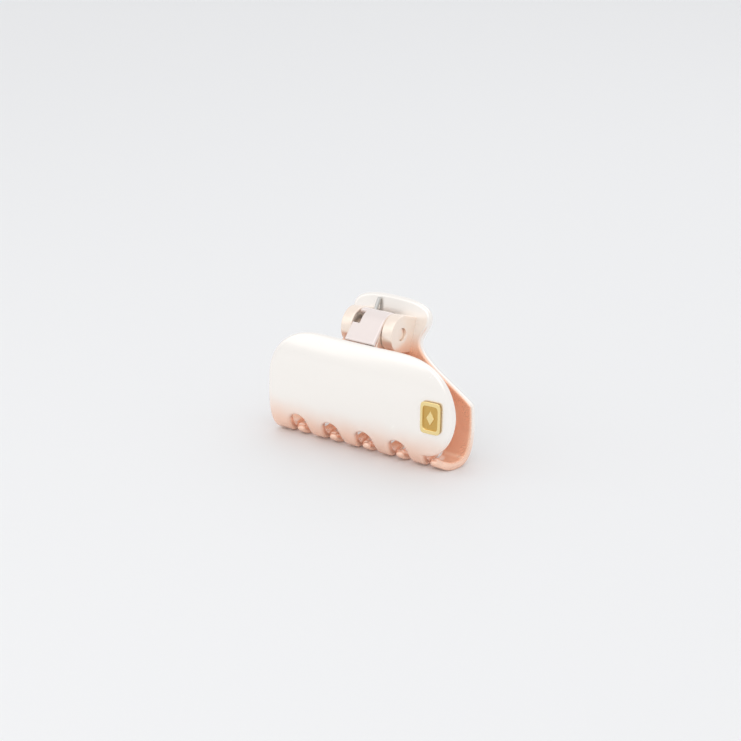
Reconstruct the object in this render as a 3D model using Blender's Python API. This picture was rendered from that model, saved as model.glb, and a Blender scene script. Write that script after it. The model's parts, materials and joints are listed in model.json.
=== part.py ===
"""Small claw hair clip: two interlocking comb jaws on one sprung hinge.

Frame: +X runs along the jaws, +Y goes from the front jaw to the back jaw, +Z is up. The clip
stands on its teeth at Z = 0, with its bounding box centred on X = 0 and Y = 0. Sizes are in
metres.
"""

import math

import bmesh
import bpy
import numpy as np
from mathutils import Vector

MM = 0.001

# Oval body: the closed jaws share one squared oval, seen along X.
BODY_DEPTH = 13.6 * MM
BODY_HEIGHT = 27.2 * MM
OVAL_POWER = 2.6
OPEN_END_REACH = 26.3 * MM
FRONT_END_SHORTER = 2.5 * MM
BACK_END_SHORTER = 1.2 * MM
SHOULDER_POWER = 0.8
LAND_DEPTH = 0.12 * MM
WALL = 1.9 * MM
END_SWEEP = 1.2 * MM

# Hinge: the barrel reaches past the back of the oval by the overhang.
AXIS_BELOW_TOP = 0.2 * MM
BARREL_RADIUS = 4.3 * MM
BARREL_OVERHANG = 0.9 * MM
BARREL_HALF_LENGTH = 6.9 * MM
EAR_WIDTH = 2.8 * MM
EAR_SIDE_GAP = 0.12 * MM
PIN_RADIUS = 1.4 * MM
PIN_RUNNING_GAP = 0.06 * MM
PIN_EAR_GAP = 0.05 * MM
PIN_END_INSET = 0.45 * MM
PIN_BEVEL = 0.2 * MM

# Neck of the front jaw: a plate from its top edge to the barrel.
NECK_EDGE_FROM_FRONT = 3.2 * MM
NECK_PLATE = 1.4 * MM
NECK_CROWN_DEG = 70.0
NECK_ROOT_DROP = 4.2 * MM
WINDOW_TOP_DEG = 100.0
WINDOW_BELOW_CREST = 1.0 * MM
WINDOW_WIDTH = 1.8 * MM

# Thumb lever of the back jaw.
LEVER_RISE = 5.7 * MM
LEVER_SET_BACK = 2.3 * MM
LEVER_LEAN_DEG = 10.0
LEVER_PULL = 19.22 * MM
LEVER_HALF_WIDTH = 10.5 * MM
LEVER_POWER = 2.7
LEVER_WIDEST_BELOW_TOP = 4.4 * MM
NECK_HALF_WIDTH = 9.1 * MM
WAIST_DROP = 2.8 * MM
WAIST_FLARE = 1.6
WAIST_RISE = 0.62
EAR_ROOT_ABOVE = 1.9 * MM
EAR_ROOT_BELOW = 5.6 * MM

# Teeth, measured round the oval on its outer skin.
TEETH = 5
TOOTH_PITCH = 9.1 * MM
TOOTH_SHIFT = 2.1 * MM
NOTCH_WIDTH = 4.7 * MM
NOTCH_TOP_HEIGHT = 5.6 * MM
TIP_WIDTH = 2.4 * MM
TIP_HEIGHT = 2.0 * MM

# Torsion spring.
WIRE_RADIUS = 0.45 * MM
COIL_TURNS = 3
COIL_TURN_GAP = 0.1 * MM
COIL_PLATE_GAP = 0.2 * MM
COIL_SIDE_GAP = 0.12 * MM
FRONT_LEG_DEG = 180.0
FRONT_LEG = 1.6 * MM
LEG_BEND_RADIUS = 0.6 * MM
LEG_HOLE_GAP = 0.04 * MM
LEG_SKIN_GAP = 0.12 * MM

# Badge on the front face.
BADGE_WIDTH = 4.9 * MM
BADGE_HEIGHT = 7.2 * MM
BADGE_FROM_END = 5.2 * MM
BADGE_PLATE = 0.35 * MM
BADGE_RELIEF = 0.4 * MM
BADGE_RIM = 0.75 * MM
BADGE_CORNER = 0.9 * MM
BADGE_GAP = 0.05 * MM
LOZENGE_SHARE = 0.75
STUD_RADIUS = 0.5 * MM
STUD_LENGTH = 1.2 * MM
STUD_SPACING = 3.8 * MM
STUD_GAP = 0.05 * MM

# Facets.
ARC_STEPS = 8
CORNER_STEPS = 5
COIL_STEPS = 22
BEND_STEPS = 4
ROD_SIDES = 40
BARREL_SIDES = 48
STUD_SIDES = 16
FRONT_ROWS = 26
BACK_ROWS = 34
BADGE_ROWS = 6
STUD_ROWS = 2

# Worked out from the sizes above.
HALF_DEPTH = BODY_DEPTH / 2
HALF_HEIGHT = BODY_HEIGHT / 2
MIDDLE_HEIGHT = HALF_HEIGHT - LAND_DEPTH
FRONT_CLOSED_REACH = OPEN_END_REACH - FRONT_END_SHORTER
BACK_CLOSED_REACH = OPEN_END_REACH - BACK_END_SHORTER
AXIS_BEHIND_MIDDLE = HALF_DEPTH - (BARREL_RADIUS - BARREL_OVERHANG)
AXIS_HEIGHT = BODY_HEIGHT - AXIS_BELOW_TOP
NECK_EDGE_DEPTH = HALF_DEPTH - NECK_EDGE_FROM_FRONT
LEVER_TOP = AXIS_HEIGHT + LEVER_RISE
WAIST_HEIGHT = AXIS_HEIGHT - WAIST_DROP
BADGE_X = OPEN_END_REACH - BADGE_FROM_END
BADGE_Z = HALF_HEIGHT
BADGE_THICKNESS = BADGE_GAP + BADGE_PLATE + BADGE_RELIEF
BADGE_SWEEP = END_SWEEP * ((BADGE_X - BADGE_WIDTH / 2) / OPEN_END_REACH) ** 2
LEVER_TOP_BEHIND_AXIS = BARREL_RADIUS + WALL + LEVER_SET_BACK
FRONT_OF_AXIS = AXIS_BEHIND_MIDDLE + HALF_DEPTH + BADGE_THICKNESS - BADGE_SWEEP
AXIS_Y = (FRONT_OF_AXIS - LEVER_TOP_BEHIND_AXIS) / 2
MIDDLE_Y = AXIS_Y - AXIS_BEHIND_MIDDLE
KNUCKLE_OUTER_X = BARREL_HALF_LENGTH - EAR_WIDTH - EAR_SIDE_GAP
COIL_RADIUS = BARREL_RADIUS - NECK_PLATE - COIL_PLATE_GAP - WIRE_RADIUS
COIL_PITCH = 2 * WIRE_RADIUS + COIL_TURN_GAP
COIL_BAY = 2 * (COIL_SIDE_GAP + WIRE_RADIUS) + (COIL_TURNS + 0.5) * COIL_PITCH
KNUCKLE_INNER_X = COIL_BAY - KNUCKLE_OUTER_X


def clear_scene():
    for obj in list(bpy.data.objects):
        bpy.data.objects.remove(obj, do_unlink=True)


def material(name, colour, roughness, metallic):
    made = bpy.data.materials.new(name)
    made.use_nodes = True
    shader = made.node_tree.nodes["Principled BSDF"]
    shader.inputs["Base Color"].default_value = (*colour, 1.0)
    shader.inputs["Roughness"].default_value = roughness
    shader.inputs["Metallic"].default_value = metallic
    return made


# Profiles seen along X


def signed_power(values, power):
    return np.sign(values) * np.abs(values) ** power


def oval(angles):
    """Points (y, z) of the squared oval at these angles, turned from +Y towards +Z."""
    y = MIDDLE_Y + HALF_DEPTH * signed_power(np.cos(angles), 2 / OVAL_POWER)
    z = MIDDLE_HEIGHT + HALF_HEIGHT * signed_power(np.sin(angles), 2 / OVAL_POWER)
    return np.stack([y, z], axis=1)


class Profile:
    """A curve in the YZ plane with its length as parameter, from its top to the tooth tips."""

    def __init__(self, points):
        lengths = np.hypot(*np.diff(points, axis=0).T)
        self.points = points
        self.length = np.concatenate([[0.0], np.cumsum(lengths)])
        slope = np.gradient(points, self.length, axis=0)
        self.tangent = slope / np.linalg.norm(slope, axis=1, keepdims=True)

    def total(self):
        return self.length[-1]

    def at(self, s):
        """Point and unit tangent at the length s."""
        point = [np.interp(s, self.length, self.points[:, i]) for i in (0, 1)]
        tangent = Vector([np.interp(s, self.length, self.tangent[:, i]) for i in (0, 1)])
        return Vector(point), tangent.normalized()

    def length_at_height(self, height):
        """Length from the top down to the first point that is this low."""
        below = np.nonzero(self.points[:, 1] <= height)[0][0]
        return self.length[below]


def tip_angle():
    """Angle past the bottom at which the skin is back up at the height of the tooth tips."""
    share = (MIDDLE_HEIGHT - TIP_HEIGHT) / HALF_HEIGHT
    return math.asin(share ** (OVAL_POWER / 2))


def front_profile():
    """From the front edge of the neck, down the face and under to the tooth tips at the back."""
    edge = math.acos((NECK_EDGE_DEPTH / HALF_DEPTH) ** (OVAL_POWER / 2))
    angles = np.linspace(math.pi - edge, 2 * math.pi - tip_angle(), 400)
    return Profile(oval(angles))


def back_profile():
    """From the top of the lever, down the back and under to the tooth tips at the front."""
    lean = math.radians(LEVER_LEAN_DEG)
    start = np.array([AXIS_Y + LEVER_TOP_BEHIND_AXIS, LEVER_TOP])
    end = np.array([MIDDLE_Y + HALF_DEPTH, MIDDLE_HEIGHT])
    reach = LEVER_TOP - MIDDLE_HEIGHT
    start_pull = LEVER_PULL * np.array([-math.sin(lean), -math.cos(lean)])
    end_pull = (2 * reach - LEVER_PULL) * np.array([0.0, -1.0])
    t = np.linspace(0.0, 1.0, 160)[:, None]
    upper = (
        (2 * t**3 - 3 * t**2 + 1) * start
        + (t**3 - 2 * t**2 + t) * start_pull
        + (3 * t**2 - 2 * t**3) * end
        + (t**3 - t**2) * end_pull
    )
    lower = oval(np.linspace(0.0, -math.pi + tip_angle(), 300))
    return Profile(np.concatenate([upper, lower[1:]]))


# Outlines on the unrolled skin: x along the jaw, s along the profile


def arc(centre, radius, start_deg, end_deg, steps=ARC_STEPS):
    angles = np.radians(np.linspace(start_deg, end_deg, steps + 1))
    return [(centre[0] + radius * math.cos(a), centre[1] + radius * math.sin(a)) for a in angles]


def tooth_edge(x, s_notch, s_tip, half_notch):
    """One tooth that hangs below the notches: its left flank, round tip and right flank."""
    half_root = TOOTH_PITCH / 2 - half_notch
    tip_radius = TIP_WIDTH / 2
    tip_centre = (x, s_tip - tip_radius)
    tip = arc(tip_centre, tip_radius, 170, 10)
    return [(x - half_root, s_notch), *tip, (x + half_root, s_notch)]


def comb_outline(profile, shoulders, closed_reach):
    """Closed outline of a jaw whose closed end, where a tooth fills the corner, lies at -X."""
    half_notch = NOTCH_WIDTH / 2
    s_notch = profile.length_at_height(NOTCH_TOP_HEIGHT) + half_notch
    s_widest = profile.length_at_height(MIDDLE_HEIGHT)
    s_tip = profile.total()
    middle = (TEETH - 1) / 2
    centres = [(i - middle) * TOOTH_PITCH - TOOTH_SHIFT for i in range(TEETH)]
    points = []
    for i, x in enumerate(centres):
        points += tooth_edge(x, s_notch, s_tip, half_notch)
        if i < TEETH - 1:
            points += arc((x + TOOTH_PITCH / 2, s_notch), half_notch, 180, 360)[1:-1]
    # The open end curves up from the last tooth's flank to the shoulder.
    last = points[-1][0]
    open_end = [
        (last + (OPEN_END_REACH - last) * math.sin(a), s_widest + (s_notch - s_widest) * math.cos(a))
        for a in quarter_turn()
    ]
    # The closed end runs down from the shoulder into the outer flank of the first tooth.
    flank_x, flank_s = points[1]
    bulge = 2 / OVAL_POWER
    closed_end = [
        (
            flank_x - (closed_reach + flank_x) * math.cos(a) ** bulge,
            s_widest + (flank_s - s_widest) * math.sin(a) ** bulge,
        )
        for a in quarter_turn()
    ]
    return points[1:] + open_end[1:] + shoulders + closed_end[:-1]


def quarter_turn(steps=ARC_STEPS):
    return np.radians(np.linspace(0, 90, steps + 1))


def turned_round(outline):
    """The same outline turned half a turn about Z, for the jaw that faces the other way."""
    return [(-x, s) for x, s in outline]


def sheet(name, profile, outline, near, far, steps):
    """Solid between two depths below the skin, bent along the profile. Depth counts inwards."""
    mesh = bmesh.new()
    face = mesh.faces.new([mesh.verts.new((x, s, near)) for x, s in outline])
    raised = bmesh.ops.extrude_face_region(mesh, geom=[face])["geom"]
    top = [v for v in raised if isinstance(v, bmesh.types.BMVert)]
    bmesh.ops.translate(mesh, verts=top, vec=(0, 0, far - near))
    bmesh.ops.triangulate(mesh, faces=mesh.faces[:])
    low, high = min(s for _, s in outline), max(s for _, s in outline)
    for s in np.linspace(low, high, steps + 1)[1:-1]:
        cut_across(mesh, (0, s, 0), (0, 1, 0))
    left, right = min(x for x, _ in outline), max(x for x, _ in outline)
    columns = max(2, round((right - left) / TOOTH_PITCH * 1.5))
    for x in np.linspace(left, right, columns + 1)[1:-1]:
        cut_across(mesh, (x, 0, 0), (1, 0, 0))
    for vert in mesh.verts:
        vert.co = on_skin(profile, *vert.co)
    bmesh.ops.recalc_face_normals(mesh, faces=mesh.faces[:])
    return mesh_object(name, mesh)


def cut_across(mesh, point, normal):
    everything = mesh.verts[:] + mesh.edges[:] + mesh.faces[:]
    bmesh.ops.bisect_plane(mesh, geom=everything, plane_co=point, plane_no=normal, dist=1e-7)


def on_skin(profile, x, s, depth):
    """Place of a point of the unrolled skin. The ends of the jaws sweep towards the middle."""
    point, tangent = profile.at(s)
    inward = Vector((-tangent.y, tangent.x))
    side = 1.0 if point.x > MIDDLE_Y else -1.0
    if profile.points[0][0] > MIDDLE_Y:
        inward = -inward
    height_share = min(1.0, max(0.0, point.y / MIDDLE_HEIGHT))
    sweep = END_SWEEP * (x / OPEN_END_REACH) ** 2 * height_share
    # The undersides of the teeth are flat, so that the clip stands on them.
    height = max(0.0, point.y + inward.y * depth)
    return Vector((x, point.x + inward.x * depth - side * sweep, height))


# Building blocks


def mesh_object(name, mesh):
    data = bpy.data.meshes.new(name)
    mesh.to_mesh(data)
    mesh.free()
    obj = bpy.data.objects.new(name, data)
    bpy.context.scene.collection.objects.link(obj)
    return obj


def prism(name, points, x_low, x_high):
    """Solid with this (y, z) outline between two values of x."""
    mesh = bmesh.new()
    face = mesh.faces.new([mesh.verts.new((x_low, y, z)) for y, z in points])
    raised = bmesh.ops.extrude_face_region(mesh, geom=[face])["geom"]
    far = [v for v in raised if isinstance(v, bmesh.types.BMVert)]
    bmesh.ops.translate(mesh, verts=far, vec=(x_high - x_low, 0, 0))
    bmesh.ops.recalc_face_normals(mesh, faces=mesh.faces[:])
    return mesh_object(name, mesh)


def rod(name, radius, x_low, x_high, centre=None):
    """Round rod along X, on the hinge axis unless a centre (y, z) is given."""
    ring = arc(centre or (AXIS_Y, AXIS_HEIGHT), radius, 0, 360, ROD_SIDES)[:-1]
    return prism(name, ring, x_low, x_high)


def combine(target, other, operation):
    """Adds a Boolean and turns the other solid into a hidden helper."""
    other.hide_render = True
    other.display_type = "WIRE"
    step = target.modifiers.new(f"{operation.lower()}_{other.name}", "BOOLEAN")
    step.operation = operation
    step.object = other
    step.solver = "EXACT"


def finish(obj, look):
    obj.data.materials.clear()
    obj.data.materials.append(look)
    obj.data.shade_smooth()
    obj.data.set_sharp_from_angle(angle=math.radians(30))
    return obj


def tangent_hull(outer_points, radius):
    """Closed outline round the barrel circle and the points given, which stick out of it."""
    circle = arc((AXIS_Y, AXIS_HEIGHT), radius, 0, 360, BARREL_SIDES)[:-1]
    return convex_outline(circle + list(outer_points))


def convex_outline(points):
    """Convex outline of the points, walked round once by the monotone chain rule."""
    ordered = sorted(points)

    def half(sequence):
        chain = []
        for point in sequence:
            while len(chain) > 1 and turn(chain[-2], chain[-1], point) <= 0:
                chain.pop()
            chain.append(point)
        return chain[:-1]

    return half(ordered) + half(reversed(ordered))


def turn(a, b, c):
    return (b[0] - a[0]) * (c[1] - a[1]) - (b[1] - a[1]) * (c[0] - a[0])


# Sub-parts


def front_shoulders(profile):
    """Top of the front face: a round shoulder each side of the neck's straight edge."""
    s_widest = profile.length_at_height(MIDDLE_HEIGHT)

    def shoulder(reach):
        flat = NECK_HALF_WIDTH
        return [
            (flat + (reach - flat) * math.cos(a) ** SHOULDER_POWER, s_widest * (1 - math.sin(a)))
            for a in quarter_turn(ARC_STEPS + 3)[:-1]
        ]

    open_side = shoulder(OPEN_END_REACH)[1:] + [(NECK_HALF_WIDTH, 0.0)]
    closed_side = [(NECK_HALF_WIDTH, 0.0)] + shoulder(FRONT_CLOSED_REACH)[:0:-1]
    return open_side + [(-x, s) for x, s in closed_side] + [(-FRONT_CLOSED_REACH, s_widest)]


def front_jaw(look):
    profile = front_profile()
    outline = comb_outline(profile, front_shoulders(profile), FRONT_CLOSED_REACH)
    jaw = sheet("front_jaw", profile, outline, 0.0, WALL, FRONT_ROWS)
    edge, _ = profile.at(0.0)
    root = (edge.x + WALL / 2, edge.y - NECK_ROOT_DROP)
    full = tangent_hull([(edge.x, edge.y), root], BARREL_RADIUS)
    combine(jaw, prism("knuckle", full, KNUCKLE_INNER_X, KNUCKLE_OUTER_X), "UNION")
    combine(jaw, prism("neck_plate", neck_section(edge), -KNUCKLE_OUTER_X, KNUCKLE_OUTER_X), "UNION")
    combine(jaw, window_cutter(edge), "DIFFERENCE")
    reach = BARREL_HALF_LENGTH
    bore = rod("front_bore", PIN_RADIUS + PIN_RUNNING_GAP, -reach, reach)
    combine(jaw, bore, "DIFFERENCE")
    combine(jaw, leg_hole(), "DIFFERENCE")
    for cutter in stud_holes(profile):
        combine(jaw, cutter, "DIFFERENCE")
    return finish(jaw, look)


def tangent_angle(edge):
    """Angle of the barrel's radius to the point where the neck's top plane leaves it."""
    away = Vector((edge.x - AXIS_Y, edge.y - AXIS_HEIGHT))
    return math.atan2(away.y, away.x) % (2 * math.pi) - math.acos(BARREL_RADIUS / away.length)


def neck_section(edge):
    """Plate of the neck: it wraps the top of the barrel, then runs straight to the face."""
    leave = tangent_angle(edge)
    centre = (AXIS_Y, AXIS_HEIGHT)
    outer = arc(centre, BARREL_RADIUS, NECK_CROWN_DEG, math.degrees(leave))
    inner = arc(centre, BARREL_RADIUS - NECK_PLATE, math.degrees(leave), NECK_CROWN_DEG)
    under = (edge.x - NECK_PLATE * math.cos(leave), edge.y - NECK_PLATE * math.sin(leave))
    return [*outer, (edge.x, edge.y), under, *inner]


def window_cutter(edge):
    """Opening in the plate over the end of the coil, on the left of the neck."""
    leave = tangent_angle(edge)
    outward = Vector((math.cos(leave), math.sin(leave)))
    centre = Vector((AXIS_Y, AXIS_HEIGHT))
    crest = centre + outward * BARREL_RADIUS
    low = crest + (Vector((edge.x, edge.y)) - crest).normalized() * WINDOW_BELOW_CREST
    top = math.radians(WINDOW_TOP_DEG)
    high = Vector((math.cos(top), math.sin(top)))
    points = [
        low + outward * NECK_PLATE,
        low - outward * NECK_PLATE * 2,
        centre + high * (BARREL_RADIUS - NECK_PLATE * 2),
        centre + high * (BARREL_RADIUS + NECK_PLATE),
    ]
    outline = convex_outline([tuple(p) for p in points])
    return prism("window", outline, -BARREL_HALF_LENGTH, WINDOW_WIDTH - KNUCKLE_OUTER_X)


def back_shoulders(profile):
    """Upper part of the back jaw: shoulder, waist at the hinge, and the lever's round end."""
    s_widest = profile.length_at_height(MIDDLE_HEIGHT)
    s_neck = profile.length_at_height(WAIST_HEIGHT)
    s_lever = LEVER_WIDEST_BELOW_TOP

    def edge(reach):
        points = []
        for a in quarter_turn()[1:]:
            x = NECK_HALF_WIDTH + (reach - NECK_HALF_WIDTH) * (1 - math.sin(a) ** WAIST_FLARE)
            points.append((x, s_widest + (s_neck - s_widest) * (1 - math.cos(a)) ** WAIST_RISE))
        for t in np.linspace(0, 1, 6)[1:]:
            ease = t * t * (3 - 2 * t)
            x = NECK_HALF_WIDTH + (LEVER_HALF_WIDTH - NECK_HALF_WIDTH) * ease
            points.append((x, s_neck + (s_lever - s_neck) * t))
        bulge = 2 / LEVER_POWER
        for a in quarter_turn(ARC_STEPS + 2)[1:]:
            x = LEVER_HALF_WIDTH * math.cos(a) ** bulge
            points.append((x, s_lever * (1 - math.sin(a) ** bulge)))
        return points

    closed_side = [(-x, s) for x, s in edge(BACK_CLOSED_REACH)[-2::-1]]
    return edge(OPEN_END_REACH) + closed_side + [(-BACK_CLOSED_REACH, s_widest)]


def back_jaw(look):
    profile = back_profile()
    outline = turned_round(comb_outline(profile, back_shoulders(profile), BACK_CLOSED_REACH))
    jaw = sheet("back_jaw", profile, outline, 0.0, WALL, BACK_ROWS)
    ear = tangent_hull(ear_root(profile), BARREL_RADIUS)
    inner = BARREL_HALF_LENGTH - EAR_WIDTH
    for name, low, high in (
        ("left_ear", -BARREL_HALF_LENGTH, -inner),
        ("right_ear", inner, BARREL_HALF_LENGTH),
    ):
        combine(jaw, prism(name, ear, low, high), "UNION")
    reach = BARREL_HALF_LENGTH * 2
    bore = rod("ear_bore", PIN_RADIUS + PIN_EAR_GAP, -reach, reach)
    combine(jaw, bore, "DIFFERENCE")
    return finish(jaw, look)


def ear_root(profile):
    """Two points inside the back wall, above and below the hinge, that the ears grow from."""
    points = []
    for height in (AXIS_HEIGHT + EAR_ROOT_ABOVE, AXIS_HEIGHT - EAR_ROOT_BELOW):
        place = on_skin(profile, 0.0, profile.length_at_height(height), WALL / 2)
        points.append((place.y, place.z))
    return points


def hinge_pin(look):
    reach = BARREL_HALF_LENGTH - PIN_END_INSET
    pin = rod("hinge_pin", PIN_RADIUS, -reach, reach)
    bevel = pin.modifiers.new("round_ends", "BEVEL")
    bevel.width = PIN_BEVEL
    bevel.segments = 2
    bevel.limit_method = "ANGLE"
    return finish(pin, look)


def front_leg_bend():
    """Where the coil ends, and its direction there, both as (y, z)."""
    end = math.radians(FRONT_LEG_DEG)
    place = Vector((math.cos(end), math.sin(end))) * COIL_RADIUS
    return Vector((AXIS_Y, AXIS_HEIGHT)) + place, Vector((math.sin(end), -math.cos(end)))


def leg_hole():
    """Blind hole in the knuckle's left side that holds the front leg."""
    place, along = front_leg_bend()
    centre = tuple(place + along * LEG_BEND_RADIUS)
    depth = FRONT_LEG + LEG_HOLE_GAP
    start = KNUCKLE_INNER_X - COIL_SIDE_GAP
    radius = WIRE_RADIUS + LEG_HOLE_GAP
    return rod("leg_hole", radius, start, KNUCKLE_INNER_X + depth, centre)


def front_leg(x_start):
    """The wire turns from the coil's last tangent to +X and runs into the knuckle."""
    place, along = front_leg_bend()
    points = []
    for a in quarter_turn(BEND_STEPS)[1:]:
        flat = place + along * (LEG_BEND_RADIUS * math.sin(a))
        points.append(Vector((x_start + LEG_BEND_RADIUS * (1 - math.cos(a)), *flat)))
    last = points[-1]
    return [*points, Vector((KNUCKLE_INNER_X + FRONT_LEG, last.y, last.z))]


def spring_path(back):
    """Wire centre line: back leg on the lever, coil round the pin, front leg in the knuckle."""
    low = COIL_SIDE_GAP + WIRE_RADIUS - KNUCKLE_OUTER_X
    high = KNUCKLE_INNER_X - COIL_SIDE_GAP - WIRE_RADIUS
    rest_height = AXIS_HEIGHT + BARREL_RADIUS + WIRE_RADIUS
    rest = on_skin(back, 0.0, back.length_at_height(rest_height), WALL)
    tip = Vector((rest.y - WIRE_RADIUS - LEG_SKIN_GAP - AXIS_Y, rest_height - AXIS_HEIGHT))
    # The back leg meets the coil along its tangent. The coil winds towards smaller angles.
    start = math.atan2(tip.y, tip.x) - math.acos(COIL_RADIUS / tip.length)
    end = math.radians(FRONT_LEG_DEG) - 2 * math.pi * (COIL_TURNS + 1)
    angles = np.linspace(start, end, COIL_STEPS * COIL_TURNS)
    coil = [
        Vector((x, AXIS_Y + COIL_RADIUS * math.cos(a), AXIS_HEIGHT + COIL_RADIUS * math.sin(a)))
        for x, a in zip(np.linspace(low, high, len(angles)), angles)
    ]
    back_tip = Vector((low, AXIS_Y + tip.x, AXIS_HEIGHT + tip.y))
    return [back_tip, *coil, *front_leg(high)]


def torsion_spring(look):
    curve = bpy.data.curves.new("torsion_spring", "CURVE")
    curve.dimensions = "3D"
    curve.bevel_depth = WIRE_RADIUS
    curve.bevel_resolution = 2
    curve.use_fill_caps = True
    path = spring_path(back_profile())
    line = curve.splines.new("POLY")
    line.points.add(len(path) - 1)
    for point, place in zip(line.points, path):
        point.co = (*place, 1.0)
    spring = bpy.data.objects.new("torsion_spring", curve)
    bpy.context.scene.collection.objects.link(spring)
    curve.materials.append(look)
    return spring


def badge_outline(half_width, half_height, corner):
    """Rounded rectangle, walked once round."""
    points = []
    for sx, sy, start in ((1, 1, 0), (-1, 1, 90), (-1, -1, 180), (1, -1, 270)):
        centre = (sx * (half_width - corner), sy * (half_height - corner))
        points += arc(centre, corner, start, start + 90, CORNER_STEPS)
    return points


def on_badge(points, profile):
    s_middle = profile.length_at_height(BADGE_Z)
    return [(BADGE_X + x, s_middle + s) for x, s in points]


def badge(look):
    """Stamped plate with a raised rim and a raised lozenge, on two studs."""
    profile = front_profile()
    half_width, half_height = BADGE_WIDTH / 2, BADGE_HEIGHT / 2
    outer = badge_outline(half_width, half_height, BADGE_CORNER)
    base = -(BADGE_GAP + BADGE_PLATE)
    top = base - BADGE_RELIEF
    plate = sheet("badge", profile, on_badge(outer, profile), top, -BADGE_GAP, BADGE_ROWS)
    inner_width, inner_height = half_width - BADGE_RIM, half_height - BADGE_RIM
    inside = badge_outline(inner_width, inner_height, BADGE_CORNER - BADGE_RIM / 2)
    hollow = sheet("badge_hollow", profile, on_badge(inside, profile), top * 2, base, BADGE_ROWS)
    combine(plate, hollow, "DIFFERENCE")
    across, up = inner_width * LOZENGE_SHARE, inner_height * LOZENGE_SHARE
    lozenge = on_badge([(across, 0), (0, up), (-across, 0), (0, -up)], profile)
    mark = sheet("badge_lozenge", profile, lozenge, top, base + BADGE_PLATE / 2, BADGE_ROWS)
    combine(plate, mark, "UNION")
    for number, height in enumerate(stud_heights()):
        stud = stud_rod(f"stud_{number}", profile, height, STUD_RADIUS, -BADGE_GAP * 2, STUD_LENGTH)
        combine(plate, stud, "UNION")
    return finish(plate, look)


def stud_heights():
    return (BADGE_Z - STUD_SPACING / 2, BADGE_Z + STUD_SPACING / 2)


def stud_rod(name, profile, height, radius, near, far):
    """Short round rod, square to the skin, between two depths below it."""
    s = profile.length_at_height(height)
    ring = [(BADGE_X + x, s + y) for x, y in arc((0.0, 0.0), radius, 0, 360, STUD_SIDES)[:-1]]
    return sheet(name, profile, ring, near, far, STUD_ROWS)


def stud_holes(profile):
    radius = STUD_RADIUS + STUD_GAP
    return [
        stud_rod(f"stud_hole_{i}", profile, height, radius, -WALL / 2, STUD_LENGTH + STUD_GAP)
        for i, height in enumerate(stud_heights())
    ]


def parent_to_hinge(moving):
    """Hangs the moving pieces on an empty that sits on the hinge axis."""
    hinge = bpy.data.objects.new("hinge_axis", None)
    hinge.location = (0.0, AXIS_Y, AXIS_HEIGHT)
    bpy.context.scene.collection.objects.link(hinge)
    bpy.context.view_layer.update()
    for obj in moving:
        obj.parent = hinge
        obj.matrix_parent_inverse = hinge.matrix_world.inverted()


def main():
    clear_scene()
    rose = material("rose_gold_lacquer", (0.86, 0.60, 0.50), 0.28, 0.75)
    steel = material("spring_steel", (0.62, 0.61, 0.60), 0.3, 1.0)
    gold = material("polished_gold", (0.90, 0.68, 0.28), 0.2, 1.0)
    front_jaw(rose)
    back = back_jaw(rose)
    pin = hinge_pin(rose)
    torsion_spring(steel)
    badge(gold)
    parent_to_hinge([back, pin])


main()
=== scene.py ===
"""Studio scene of a small rose-gold claw hair clip that stands on its teeth.

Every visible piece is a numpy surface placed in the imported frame. The jaws are sheets: a flat
outline (x along the jaw, s along the section) that is bent along a squared-oval section and
given a rounded rim. Sizes are in metres, +X along the jaws, +Y to the back jaw, +Z up.
"""

import json
import logging
import math
from collections.abc import Callable
from dataclasses import dataclass
from enum import Enum

import bpy
import numpy as np
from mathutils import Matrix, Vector
from mathutils.geometry import convex_hull_2d


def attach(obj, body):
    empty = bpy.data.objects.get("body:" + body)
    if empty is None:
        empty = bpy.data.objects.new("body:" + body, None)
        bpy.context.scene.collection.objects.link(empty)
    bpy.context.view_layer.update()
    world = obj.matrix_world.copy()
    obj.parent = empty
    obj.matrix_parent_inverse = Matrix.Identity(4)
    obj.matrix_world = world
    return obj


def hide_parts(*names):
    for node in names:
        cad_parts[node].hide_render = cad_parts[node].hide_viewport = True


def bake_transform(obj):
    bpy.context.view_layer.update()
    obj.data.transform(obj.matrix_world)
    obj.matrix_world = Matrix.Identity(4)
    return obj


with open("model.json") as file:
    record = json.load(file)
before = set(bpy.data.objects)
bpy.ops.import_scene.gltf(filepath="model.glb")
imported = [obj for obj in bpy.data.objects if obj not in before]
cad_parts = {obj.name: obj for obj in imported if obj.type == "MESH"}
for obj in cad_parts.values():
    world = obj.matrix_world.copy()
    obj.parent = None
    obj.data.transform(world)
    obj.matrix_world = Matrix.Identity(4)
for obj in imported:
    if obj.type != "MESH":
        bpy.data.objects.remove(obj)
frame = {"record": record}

LOG = logging.getLogger("claw_clip")
MM = 0.001
WELD = 1e-8
RIM_BLOCK = 64
NOISE_MIDDLE = 0.5
FRONT_CLOSED_REACH = 23.8 * MM
BACK_CLOSED_REACH = 25.1 * MM


class Body(Enum):
    """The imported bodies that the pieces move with."""

    FRONT = "front"
    BACK = "back"


class Slot(Enum):
    """The record's material slots."""

    ROSE_GOLD = "rose_gold"
    STEEL = "spring_steel"
    GOLD = "gold"


# ---------------------------------------------------------------- sizes


@dataclass(frozen=True)
class HingeSizes:
    """Sizes round the hinge axis."""

    axis_y: float
    axis_z: float
    behind_middle: float = 3.4 * MM
    barrel_radius: float = 4.3 * MM
    half_length: float = 6.9 * MM
    ear_width: float = 2.8 * MM
    side_gap: float = 0.12 * MM
    pin_radius: float = 1.4 * MM
    pin_gap: float = 0.05 * MM
    pin_inset: float = 0.45 * MM
    knuckle_width: float = 3.32 * MM
    ear_root_above: float = 1.9 * MM
    ear_root_below: float = 5.6 * MM

    @property
    def knuckle_x(self) -> float:
        """Outer side of the front jaw's knuckle and neck."""
        return self.half_length - self.ear_width - self.side_gap


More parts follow.
